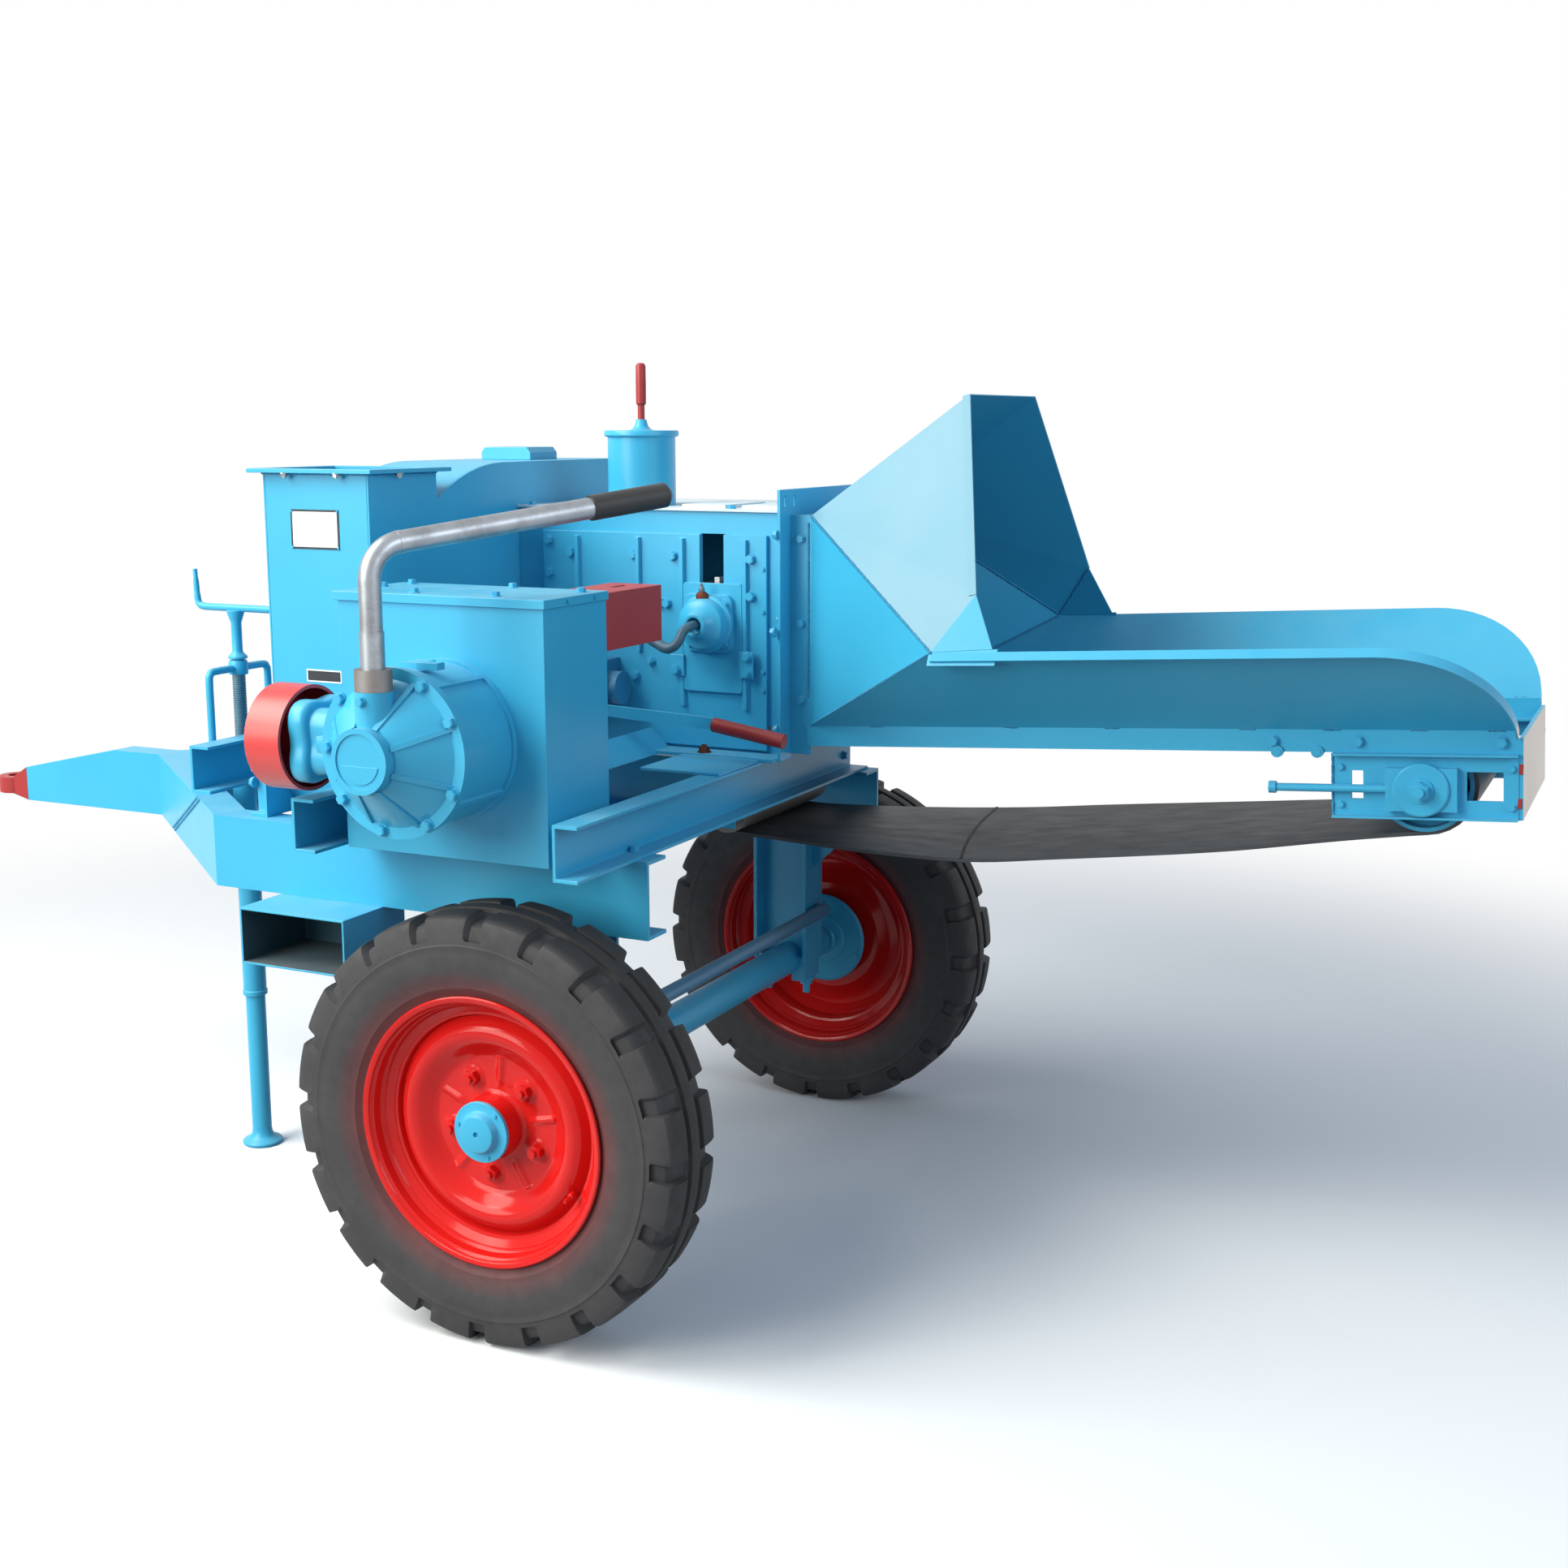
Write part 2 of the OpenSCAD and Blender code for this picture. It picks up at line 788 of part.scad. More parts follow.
module drive_case() {
  color(blue)
    translate([case_rear_x - case_l, case_front_y, rail_top])
      difference() {
        cube([case_l, case_d, 12 + case_h]);
        translate([case_t, case_t, 12]) cube([case_l - 2 * case_t, case_d - 2 * case_t, case_h + 1]);
        translate([bell_x - case_rear_x + case_l, -1, bell_z - rail_top])
          bar_y(bell_r - 40, 0, case_t + 2);
        translate([cross_x - case_rear_x + case_l, case_d - case_t - 1, cut_z - rail_top])
          bar_y(cross_r + fit, 0, case_t + 2);
      }
}

module drive_case_lid() {
  out = 6;
  color(blue)
    difference() {
      translate([case_rear_x - case_l - 2 * out, case_front_y - out, case_top - lid_h + 4])
        cube([case_l + 3 * out, case_d + out, lid_h]);
      translate([case_rear_x - case_l, case_front_y, case_top - lid_h])
        cube([case_l, case_d + 1, lid_h]);
    }
}

boss_r = 66;
boss_x = bell_x - bell_r - 34;

module bevel_housing() {
  color(blue)
    difference() {
      union() {
        translate([bell_x, 0, bell_z]) {
          bar_y(bell_r - 8, bell_front_y + 16, case_front_y - 12);
          bar_y(bell_r, bell_front_y, bell_front_y + 17);
          bar_y(bell_r - 2, case_front_y - 12, case_front_y);
          for (a = [35, 125, 215, 305])
            rotate([0, a, 0])
              translate([-5, bell_front_y + 8, bell_r - 18]) cube([10, bell_d - 14, 16]);
          translate([-20, input_y - 30, bell_r - 14]) cube([40, 60, 16]);
        }
        translate([0, input_y, bell_z]) bar_x(boss_r, boss_x, bell_x - 60);
      }
      translate([bell_x, 0, bell_z]) bar_y(bell_r - 24, bell_front_y - 1, case_front_y + 1);
      translate([0, input_y, bell_z]) bar_x(input_r + fit, boss_x - 1, bell_x - 60);
    }
}

boss_top_r = 36;

// Cone with ribs, a round cap and an upright boss for the lever
module bevel_cover() {
  color(blue)
    difference() {
      union() {
        translate([bell_x, bell_front_y, bell_z])
          rotate([90, 0, 0]) {
            cylinder(r1 = bell_r - 22, r2 = cap_r + 4, h = cone_d);
            translate([0, 0, cone_d]) cylinder(r = cap_r, h = 24);
            for (i = [0 : 7])
              rotate([0, 0, 22.5 + i * 45])
                rotate([90, 0, 0])
                  translate([0, 0, -5])
                    linear_extrude(10)
                      polygon([[cap_r - 4, 0], [bell_r - 16, 0], [bell_r - 20, 6], [cap_r + 2, cone_d + 6]]);
          }
        translate([bell_x, lever_y, bell_z]) cylinder(r = boss_top_r, h = lever_z - bell_z);
      }
      translate([bell_x, cap_y - 24, bell_z]) bar_y(cap_r - 10, -1, 3);
      translate([bell_x, lever_y, lever_z - 40]) cylinder(r = lever_r - 3 + fit, h = 60);
      translate([bell_x, lever_y, lever_z]) cylinder(r = boss_top_r + 1, h = 60);
    }
}

bend_r = 70;
arm_x = bend_r * (1 - sin(lever_rise));
arm_z = lever_bend_z + bend_r * cos(lever_rise);

// Tube path in the lever's own upright plane
module lever_plane() {
  translate([bell_x, lever_y, 0])
    rotate([0, 0, lever_turn])
      children();
}

module lever_arm_bar(r, s0, s1) {
  translate([arm_x, 0, arm_z])
    rotate([0, 90 - lever_rise, 0])
      translate([0, 0, s0])
        cylinder(r = r, h = s1 - s0);
}

module clutch_lever() {
  color(steel)
    lever_plane() {
      translate([0, 0, lever_z - 38]) cylinder(r = lever_r - 3, h = 40);
      translate([0, 0, lever_z + slip]) cylinder(r = boss_top_r - 1, h = 40);
      translate([0, 0, lever_z + 20]) cylinder(r = lever_r + 2, h = 90);
      translate([0, 0, lever_z + 20]) cylinder(r = lever_r, h = lever_bend_z - lever_z - 20);
      translate([0, 0, lever_bend_z - 5]) cylinder(r = lever_r + 0.8, h = 10);
      lever_arm_bar(lever_r + 0.8, -5, 5);
      translate([bend_r, 0, lever_bend_z])
        rotate([90, 0, 0])
          rotate([0, 0, 90 + lever_rise])
            rotate_extrude(angle = 90 - lever_rise)
              translate([bend_r, 0])
                circle(r = lever_r);
      lever_arm_bar(lever_r, 0, lever_arm - 12);
    }
}

module clutch_lever_grip() {
  color(rubber)
    lever_plane()
      difference() {
        union() {
          lever_arm_bar(lever_r + 4, lever_arm - grip_l, lever_arm);
          translate([arm_x, 0, arm_z])
            rotate([0, 90 - lever_rise, 0])
              translate([0, 0, lever_arm])
                cylinder(r1 = lever_r + 4, r2 = lever_r - 6, h = 10);
        }
        lever_arm_bar(lever_r, lever_arm - grip_l - 1, lever_arm - 12);
      }
}

lobe_count = 4;
carrier_r = 58;
lobe_out = 60;
lobe_r = 28;
carrier_x = pulley_x - 4;
carrier_t = 42;

// Scalloped bearing carrier that reaches into the open side of the pulley
module bearing_carrier() {
  color(blue)
    translate([0, input_y, bell_z])
      difference() {
        union() {
          slab_x(carrier_x, carrier_t)
            union() {
              circle(r = carrier_r);
              for (i = [0 : lobe_count - 1])
                rotate([0, 0, (i + 0.5) * 360 / lobe_count])
                  translate([lobe_out, 0]) circle(r = lobe_r);
            }
          bar_x(boss_r - 4, carrier_x + carrier_t - 1, boss_x);
        }
        bar_x(input_r + fit, carrier_x - 1, boss_x + 1);
      }
}

// Flat pulley with its hub and shaft
module drive_pulley() {
  web = 14;
  color(red)
    translate([0, input_y, bell_z]) {
      difference() {
        bar_x(pulley_r, pulley_x - pulley_w, pulley_x);
        bar_x(pulley_r - 7, pulley_x - pulley_w + web, pulley_x + 1);
      }
      bar_x(input_r, pulley_x - pulley_w - 40, bell_x - 66);
      bar_x(input_r + 16, pulley_x - pulley_w - 14, carrier_x - 3);
    }
}

guard_w = 120;
guard_z = 1336;
guard_h = 116;
guard_t = 3;

// Open box over the shaft that leaves the case towards the feed rollers
module feed_drive_guard() {
  guard_l = 226;
  color("#8c3034")
    translate([case_rear_x - guard_w, case_back_y, guard_z])
      difference() {
        cube([guard_w, guard_l, guard_h]);
        translate([guard_t, -1, guard_t]) cube([guard_w - 2 * guard_t, guard_l + 2, guard_h - 2 * guard_t]);
        translate([guard_w / 2 - 9, guard_l - 90, guard_h - 5]) cube([18, 40, 10]);
        translate([guard_w / 2, guard_l - 90, guard_h - 5]) cylinder(r = 9, h = 10);
        translate([guard_w / 2, guard_l - 50, guard_h - 5]) cylinder(r = 9, h = 10);
      }
}

module lower_drive_guard() {
  ridge_x = -105;
  ridge_z = 1098;
  foot = 48;
  drop = 50;
  color(blue)
    slab_y(case_back_y, wall_y - panel_t - case_back_y)
      polygon([
        [ridge_x - foot, ridge_z - drop], [ridge_x, ridge_z], [ridge_x + foot, ridge_z - drop],
        [ridge_x + foot - 4, ridge_z - drop - 2], [ridge_x, ridge_z - 5], [ridge_x - foot + 4, ridge_z - drop - 2]
      ]);
}

// Shaft from the drive case to the angle drive
module cross_shaft() {
  color(steel)
    translate([cross_x, 0, cut_z]) {
      bar_y(cross_r, case_back_y - 60, angle_near_y + 30);
      bar_y(cross_r + 16, case_back_y + 40, case_back_y + 110);
    }
}

angle_x = cross_x - angle_l / 2;
angle_near_y = cut_y - 70;
angle_half_h = 64;

// Closed gear housing on the wheel's shaft, with the feed lever's pin
module angle_drive() {
  color(dark_blue)
    difference() {
      union() {
        translate([angle_x, angle_near_y, cut_z - angle_half_h]) cube([angle_l, wall_y - panel_t - angle_near_y, 2 * angle_half_h]);
        translate([cross_x, 0, cut_z]) bar_y(36, angle_near_y - 18, angle_near_y);
        translate([0, cut_y, cut_z]) bar_x(38, angle_x + angle_l - 1, angle_x + angle_l + 34);
        translate([feed_pivot_x, 0, feed_pivot_z]) bar_y(pivot_r, angle_near_y - 36, angle_near_y);
      }
      translate([cross_x, 0, cut_z]) bar_y(cross_r + fit, angle_near_y - 30, angle_near_y + 34);
      translate([0, cut_y, cut_z]) bar_x(cut_shaft_r + fit, angle_x - 1, angle_x + 40);
    }
}

// Cutting wheel casing and chute, drawn in the plane across the trailer

mouth_y0 = wall_y + 20;
mouth_y1 = wall_y + 400;
mouth_z0 = cut_z + 15;
mouth_z1 = cut_z + 145;

// Round casing with a square far corner and the chute on its near side
module casing_outline(d) {
  translate([cut_y, cut_z]) {
    circle(r = casing_r - d, $fn = 96);
    square([casing_r - d, casing_r - d]);
    translate([d - casing_r, 0]) square([chute_d - 2 * d, chute_top - cut_z]);
  }
}

module casing_band() {
  color(blue)
    slab_x(casing_front_x + casing_t, casing_w - 2 * casing_t)
      difference() {
        casing_outline(0);
        casing_outline(casing_t);
        translate([chute_near_y + casing_t, cut_z]) square([chute_d - 2 * casing_t, casing_r]);
      }
}

module casing_front_wall() {
  color(blue)
    difference() {
      union() {
        slab_x(casing_front_x, casing_t) casing_outline(0);
        translate([0, cut_y, cut_z]) bar_x(90, casing_front_x - 14, casing_front_x + 1);
        translate([0, cut_y, cut_z]) bar_x(58, casing_front_x - 70, casing_front_x + 1);
      }
      translate([0, cut_y, cut_z]) bar_x(cut_shaft_r + fit, casing_front_x - 71, casing_front_x + 10);
    }
}

module casing_rear_wall() {
  color(blue)
    difference() {
      union() {
        slab_x(casing_rear_x - casing_t, casing_t) casing_outline(0);
        translate([0, cut_y, cut_z]) bar_x(42, casing_rear_x - 1, casing_rear_x + 40);
      }
      translate([casing_rear_x - casing_t - 1, mouth_y0, mouth_z0])
        cube([casing_t + 2, mouth_y1 - mouth_y0, mouth_z1 - mouth_z0]);
      translate([0, cut_y, cut_z]) bar_x(cut_shaft_r + fit, casing_rear_x - 10, casing_rear_x + 41);
    }
}

module roof_hatch() {
  hatch_l = 140;
  hatch_y = 200;
  hatch_d = 120;
  hatch_h = 30;
  color(blue)
    translate([casing_front_x + casing_w / 2, 0, 0])
      slab_y(hatch_y, hatch_d)
        polygon([
          [-hatch_l / 2, roof_z], [hatch_l / 2, roof_z], [hatch_l / 2, roof_z + hatch_h - 12],
          [hatch_l / 2 - 10, roof_z + hatch_h], [10 - hatch_l / 2, roof_z + hatch_h],
          [-hatch_l / 2, roof_z + hatch_h - 12]
        ]);
}

flange_t = 9;

module chute_flange() {
  color(blue)
    translate([casing_front_x - flange_out, chute_near_y - flange_out, chute_top])
      difference() {
        cube([casing_w + 2 * flange_out, chute_d + 2 * flange_out, flange_t]);
        translate([flange_out + casing_t, flange_out + casing_t, -1])
          cube([casing_w - 2 * casing_t, chute_d - 2 * casing_t, flange_t + 2]);
        for (x = [0, 1], y = [0, 1])
          translate([flange_out / 2 + x * (casing_w + flange_out), flange_out / 2 + y * (chute_d + flange_out), -1])
            cylinder(r = 5.5, h = flange_t + 2);
      }
}

knife_t = 16;
disc_t = 14;

// Disc with knives towards the mouth and paddles on the other side
module knife_wheel() {
  knife_x = casing_rear_x - casing_t - 3 - knife_t;
  paddle_x = casing_front_x + casing_t + 14;
  color(steel)
    translate([0, cut_y, cut_z]) {
      bar_x(cut_shaft_r, casing_front_x - 130, angle_x + 38);
      bar_x(80, knife_x - disc_t - 70, knife_x);
      bar_x(cut_r - 30, knife_x - disc_t, knife_x);
      for (i = [0 : knife_count - 1])
        rotate([(i + 0.5) * 360 / knife_count, 0, 0]) {
          translate([knife_x - 1, -40, 110]) cube([knife_t + 1, 80, cut_r - 170]);
          translate([paddle_x, -4, cut_r - 150]) cube([knife_x - 2 - paddle_x, 8, 146]);
        }
    }
}

// Feed housing and rollers

slot_w = 2 * roller_shaft_r + 15;
frame_out = 52;

module roller_slot(y0, t) {
  translate([roller_x, y0, upper_z]) {
    bar_y(slot_w / 2, 0, t);
    translate([-slot_w / 2, 0, 0]) cube([slot_w, t, panel_top - upper_z + 1]);
  }
}

module wall_bore(x, z, r) {
  translate([x, 0, z]) bar_y(r + fit, wall_y - 1, wall_y + wall_t + 1);
}

press_low_z = lower_z - 20;
press_high_z = upper_z - 15;
belt_shaft_r = 16;

module feed_wall() {
  difference() {
    translate([casing_rear_x, wall_y, channel_top])
      cube([feed_rear_x - casing_rear_x, wall_t, feed_top - channel_top]);
    roller_slot(wall_y - 1, wall_t + 2);
    wall_bore(roller_x, lower_z, roller_shaft_r);
    wall_bore(press_x, press_low_z, roller_shaft_r);
    wall_bore(press_x, press_high_z, roller_shaft_r);
    wall_bore(nose_xz[0], nose_xz[1], belt_shaft_r);
  }
  difference() {
    translate([drive_xz[0] - 30, wall_y, drive_xz[1] - 36]) cube([60, wall_t, channel_top - drive_xz[1] + 36]);
    wall_bore(drive_xz[0], drive_xz[1], belt_shaft_r);
  }
}

module feed_housing() {
  inner_w = feed_w - 2 * wall_t;
  floor_x = press_x + press_r + 12;
  color(blue) {
    mirror_mid() feed_wall();
    translate([casing_rear_x, wall_y, channel_top]) cube([channel_flange, feed_w, wall_t]);
    translate([floor_x, wall_y + 1, lower_z + 50]) cube([roller_x - lower_r - 12 - floor_x, feed_w - 2, wall_t]);
    translate([casing_rear_x, wall_y + 1, mouth_z0 - 24]) cube([34, feed_w - 2, 22]);
    difference() {
      translate([feed_rear_x - 8, wall_y - frame_out, channel_top])
        cube([8, feed_w + 2 * frame_out, feed_top + frame_out - channel_top]);
      translate([feed_rear_x - 9, wall_y + wall_t, channel_top - 1])
        cube([10, inner_w, feed_top - channel_top - 5]);
      for (y = [wall_y - 28, wall_y + 20])
        translate([feed_rear_x - 9, y - 4, feed_top + 16]) cube([10, 8, 22]);
    }
    translate([roller_x - 40, wall_y - 75, channel_top]) cube([feed_rear_x - 8 - roller_x + 40, 76, 8]);
  }
}

panel_x0 = -390;
panel_x1 = 186;
panel_low = 1062;
panel_top = 1540;
guide_w = 10;
guide_x = [roller_x - 73, roller_x + 85];
rib_x = [-296, -136];

module side_panel() {
  color(blue)
    difference() {
      union() {
        translate([panel_x0, wall_y - panel_t, panel_low])
          cube([panel_x1 - panel_x0, panel_t, panel_top - panel_low]);
        for (x = guide_x)
          translate([x - guide_w / 2, wall_y - panel_t - 10, panel_low + 90])
            cube([guide_w, 11, panel_top - panel_low - 100]);
        for (x = rib_x)
          translate([x - guide_w / 2, wall_y - panel_t - 10, cut_z + 80])
            cube([guide_w, 11, panel_top - 10 - cut_z - 80]);
      }
      roller_slot(wall_y - panel_t - 12, panel_t + 14);
    }
}

module top_cover() {
  color("#8fd3f0") {
    translate([casing_rear_x, wall_y - 8, feed_top]) cube([feed_rear_x - 8 - casing_rear_x, feed_w + 16, 6]);
    translate([-40, wall_y + 20, feed_top + 6]) cube([110, 200, 8]);
    translate([110, wall_y + 20, feed_top + 6]) cube([90, 200, 8]);
  }
}

plate_low = 1189;
plate_top = 1433;
plate_t = 10;
hub_flange = 59;
stub_in = 56;

// Sliding bearing plates on both sides, the near one with its stepped hub
module bearing_plate() {
  plate_y = wall_y - panel_t - plate_t - slip;
  translate([guide_x[0] + guide_w / 2 + slip, plate_y, plate_low])
    cube([guide_x[1] - guide_x[0] - guide_w - 2 * slip, plate_t, plate_top - plate_low]);
  translate([roller_x - hub_flange, plate_y - 12, upper_z - hub_flange - 6])
    cube([2 * hub_flange, 13, 2 * hub_flange + 12]);
  translate([roller_x, plate_y, upper_z]) {
    bar_y(50, -26, 1);
    bar_y(38, -48, 1);
    bar_y(28, -64, 1);
  }
  translate([roller_x, 0, upper_z]) bar_y(roller_shaft_r, plate_y, wall_y + wall_t + shaft_wall_gap + stub_in);
}

module bearing_plates() {
  color(blue) {
    bearing_plate();
    roller_pipe();
    translate([0, 2 * mid_y, 0]) mirror([0, 1, 0]) bearing_plate();
  }
}

pipe_r = 15;
pipe_bend = 60;
hub_end_y = wall_y - panel_t - plate_t - slip - 64;

// Bent grease pipe that leaves the near hub and turns down
module roller_pipe() {
  translate([roller_x, hub_end_y, upper_z])
    rotate([0, 35, 0]) {
      bar_y(pipe_r, -20, 1);
      translate([-pipe_bend, -20, 0])
        rotate([0, 0, -90])
          rotate_extrude(angle = 90)
            translate([pipe_bend, 0])
              circle(r = pipe_r);
      translate([-pipe_bend, -20 - pipe_bend, 0]) bar_x(pipe_r, -30, 0);
      translate([0, -20, 0]) bar_y(pipe_r + 1, -4, 4);
      translate([-pipe_bend, -20 - pipe_bend, 0]) bar_x(pipe_r + 1, -4, 4);
    }
}

teeth = 10;
shell_t = 8;

// Open tube on two pierced webs
module tube_roller(r, shaft_r, y0, y1) {
  difference() {
    bar_y(r, y0, y1);
    bar_y(r - shell_t, y0 - 1, y0 + 30);
    bar_y(r - shell_t, y0 + 40, y1 - 40);
    bar_y(r - shell_t, y1 - 30, y1 + 1);
    for (i = [0 : 2])
      rotate([0, i * 120, 0])
        translate([(r - shell_t + shaft_r) / 2, 0, 0])
          bar_y((r - shell_t - shaft_r) / 2 - 3, y0, y1);
  }
}

module ribbed_roller(r, shaft_r) {
  y0 = wall_y + wall_t + shaft_wall_gap;
  y1 = far_wall_y - wall_t - shaft_wall_gap;
  tube_roller(r - 14, shaft_r, y0, y1);
  for (i = [0 : teeth - 1])
    rotate([0, i * 360 / teeth, 0])
      translate([-6, y0, r - 20]) cube([12, y1 - y0, 19]);
}

// Drum that runs on the stubs of the two bearing plates
module upper_feed_roller() {
  y0 = wall_y + wall_t + shaft_wall_gap;
  y1 = far_wall_y - wall_t - shaft_wall_gap;
  color(steel)
    translate([roller_x, 0, upper_z]) {
      difference() {
        union() {
          ribbed_roller(upper_r, roller_shaft_r);
          bar_y(roller_shaft_r + 9, y0 + 14, y0 + stub_in + 4);
          bar_y(roller_shaft_r + 9, y1 - stub_in - 4, y1 - 14);
        }
        bar_y(roller_shaft_r + fit, y0, y0 + stub_in + 6);
        bar_y(roller_shaft_r + fit, y1 - stub_in - 6, y1);
      }
    }
}

module lower_feed_roller() {
  color(steel)
    translate([roller_x, 0, lower_z]) {
      ribbed_roller(lower_r, roller_shaft_r);
      bar_y(roller_shaft_r, wall_y, far_wall_y);
    }
}

module press_roller() {
  tube_roller(press_r, roller_shaft_r, wall_y + wall_t + shaft_wall_gap, far_wall_y - wall_t - shaft_wall_gap);
  bar_y(roller_shaft_r, wall_y, far_wall_y);
}

module upper_press_roller() {
  color(steel) translate([press_x, 0, press_high_z]) press_roller();
}

module lower_press_roller() {
  color(steel) translate([press_x, 0, press_low_z]) press_roller();
}

// Spring pot with its shift lever

pot_x = -193;
pot_y = 150;
pot_z = feed_top + 6;
ball_r = 15;
ball_z = pot_z + pot_h + 16;

module spring_pot() {
  color(blue)
    difference() {
      translate([pot_x, pot_y, pot_z]) {
        cylinder(r = pot_r, h = pot_h);
        translate([0, 0, pot_h - 10]) cylinder(r = pot_r + 5, h = 10);
        translate([0, 0, pot_h]) cylinder(r1 = 30, r2 = ball_r + 5, h = 24);
      }
      translate([pot_x, pot_y, ball_z]) sphere(r = ball_r + slip);
      translate([pot_x, pot_y, ball_z]) bar_y(5 + fit, -ball_r - 3, ball_r + 3);
      translate([pot_x, pot_y, ball_z]) cylinder(r1 = ball_r - 2, r2 = ball_r + 4, h = 30);
    }
}

module shift_lever() {
  color("#b0393b")
    translate([pot_x, pot_y, ball_z]) {
      sphere(r = ball_r);
      bar_y(5, -ball_r - 2, ball_r + 2);
      cylinder(r = 7, h = 60);
      translate([0, 0, 24]) cylinder(r1 = 8, r2 = 12, h = 24);
      translate([0, 0, 48]) cylinder(r = 12, h = 90);
      translate([0, 0, 138]) sphere(r = 12);
    }
}

feed_pivot_x = -205;
feed_pivot_z = cut_z - 36;
feed_bar_l = 342;
feed_grip_l = 172;
feed_tilt = 2.6;
pivot_r = 11;

// Flat bar on its pin, with a round grip bent downwards
module feed_lever() {
  bar_y0 = angle_near_y - 22;
  translate([feed_pivot_x, bar_y0, feed_pivot_z])
    rotate([0, feed_tilt, 0]) {
      color(blue)
        difference() {
          union() {
            bar_y(20, -4, 14);
            translate([0, -4, -13]) cube([feed_bar_l, 8, 26]);
          }
          bar_y(pivot_r + fit, -20, 20);
        }
      color("#b0393b")
        translate([feed_bar_l - 12, 0, -2])
          rotate([0, 6, 0])
            bar_x(16, 0, feed_grip_l);
    }
}

// Feed table, hopper and belt

hop_x = feed_rear_x + 50;
lip_s = 376;
lip_xz = table_xz(lip_s, strip_h + side_h * cos(side_lean));
lip_y = wall_y - side_h * sin(side_lean);
throat_y = wall_y + sheet_t / 2;
throat_top = feed_top - 5;

// Corners of the folded sheet on the near side, and the same on the far side
hopper_near = [
  [feed_rear_x, throat_y, table_z - 20],
  [hop_x, throat_y, table_z - 20],
  [hop_x, throat_y, table_z + strip_h],
  [hop_x, throat_y, throat_top],
  [feed_rear_x, throat_y, throat_top],
  [lip_xz[0], lip_y, lip_xz[1]],
  [lip_xz[0] - 5, wall_y + 29, mouth_z],
  [lip_xz[0] + 81, lip_y + 39, lip_xz[1] + 117],
  [lip_xz[0] + 130, lip_y + 5, lip_xz[1] + 12]
];
function far_corner(i) = i + len(hopper_near);
hopper_corners = concat(hopper_near, [for (p = hopper_near) [p[0], 2 * mid_y - p[1], p[2]]]);

near_folds = [[0, 1, 2], [0, 2, 3], [0, 3, 4], [3, 2, 5], [3, 5, 7], [3, 7, 6], [5, 8, 7]];
roof_folds = [
  [4, 3, far_corner(3)], [4, far_corner(3), far_corner(4)],
  [3, 6, far_corner(6)], [3, far_corner(6), far_corner(3)]
];
hopper_folds = concat(
  near_folds,
  [for (f = near_folds) [far_corner(f[2]), far_corner(f[1]), far_corner(f[0])]],
  roof_folds
);

function unit(v) = v / norm(v);
function total(list, i = 0) = i >= len(list) - 1 ? list[i] : list[i] + total(list, i + 1);
function fold_normal(f) =
  unit(cross(hopper_corners[f[1]] - hopper_corners[f[0]], hopper_corners[f[2]] - hopper_corners[f[0]]));
function corner_normal(i) =
  unit(total([for (f = hopper_folds) if (f[0] == i || f[1] == i || f[2] == i) fold_normal(f)]));

// One folded sheet: throat, leaning sides, corner flaps and roof
module hopper() {
  n = len(hopper_corners);
  rise = [for (i = [0 : n - 1]) corner_normal(i) * sheet_t / 2];
  edges = [for (f = hopper_folds) for (k = [0 : 2]) [f[k], f[(k + 1) % 3]]];
  rim = [for (e = edges) if (len([for (g = edges) if (g[0] == e[1] && g[1] == e[0]) 1]) == 0) e];
  color(blue)
    polyhedron(
      points = concat(
        [for (i = [0 : n - 1]) hopper_corners[i] - rise[i]],
        [for (i = [0 : n - 1]) hopper_corners[i] + rise[i]]
      ),
      faces = concat(
        hopper_folds,
        [for (f = hopper_folds) [n + f[2], n + f[1], n + f[0]]],
        [for (e = rim) [e[0], e[0] + n, e[1]]],
        [for (e = rim) [e[1], e[0] + n, e[1] + n]]
      )
    );
}

round_steps = 14;

// Outline of a table wall in its own plane, drawn in by d
module side_outline(d) {
  polygon(concat(
    [[2, 0], [lip_s + d, side_h - d]],
    [for (i = [0 : round_steps])
      let (a = 90 - i * 90 / round_steps)
      [table_l - side_round + (side_round - d) * cos(a), (side_h - d) * sin(a)]]
  ));
}

module table_side() {
  translate([0, wall_y, strip_h])
    rotate([90 + side_lean, 0, 0]) {
      linear_extrude(sheet_t) side_outline(0);
      linear_extrude(lip_w)
        difference() {
          side_outline(0);
          side_outline(sheet_t);
          translate([0, -1]) square([lip_s + 1, side_h + 2]);
        }
    }
  translate([0, wall_y - 4, 0]) cube([table_l, 4, strip_h]);
  translate([0, wall_y, 0]) cube([table_l, 30, 4]);
}

bed_gap = 2;
bed_t = 4;

// Sheet below the upper run of the belt, from wall to wall
module belt_bed() {
  nose_top = belt_arc(1, 0)[0];
  tail_top = belt_arc(0, 0)[arc_steps];
  run = tail_top - nose_top;
  low = [0, bed_gap + bed_t];
  high = [0, bed_gap];
  slab_y(wall_y - 2, feed_w + 4)
    polygon([
      nose_top + run * 0.1 - low, nose_top + run * 0.86 - low,
      nose_top + run * 0.86 - high, nose_top + run * 0.1 - high
    ]);
}

module feed_table() {
  color(blue)
    table_frame() {
      mirror_mid() table_side();
      translate([table_l, wall_y - 4, -bracket_h]) cube([8, feed_w + 8, bracket_h + 30]);
    }
  color(blue) belt_bed();
}

// Belt path through its three rollers, seen along Y
belt_wheels = [[tail_xz, tail_r], [nose_xz, nose_r], [drive_xz, drive_r]];

function tangent_angle(i, extra) =
  let (a = belt_wheels[i], b = belt_wheels[(i + 1) % 3])
  let (v = b[0] - a[0])
  atan2(v[1], v[0]) - acos((a[1] - b[1]) / norm(v));

function turn_up(from, to) = to < from ? turn_up(from, to + 360) : to;

arc_steps = 26;

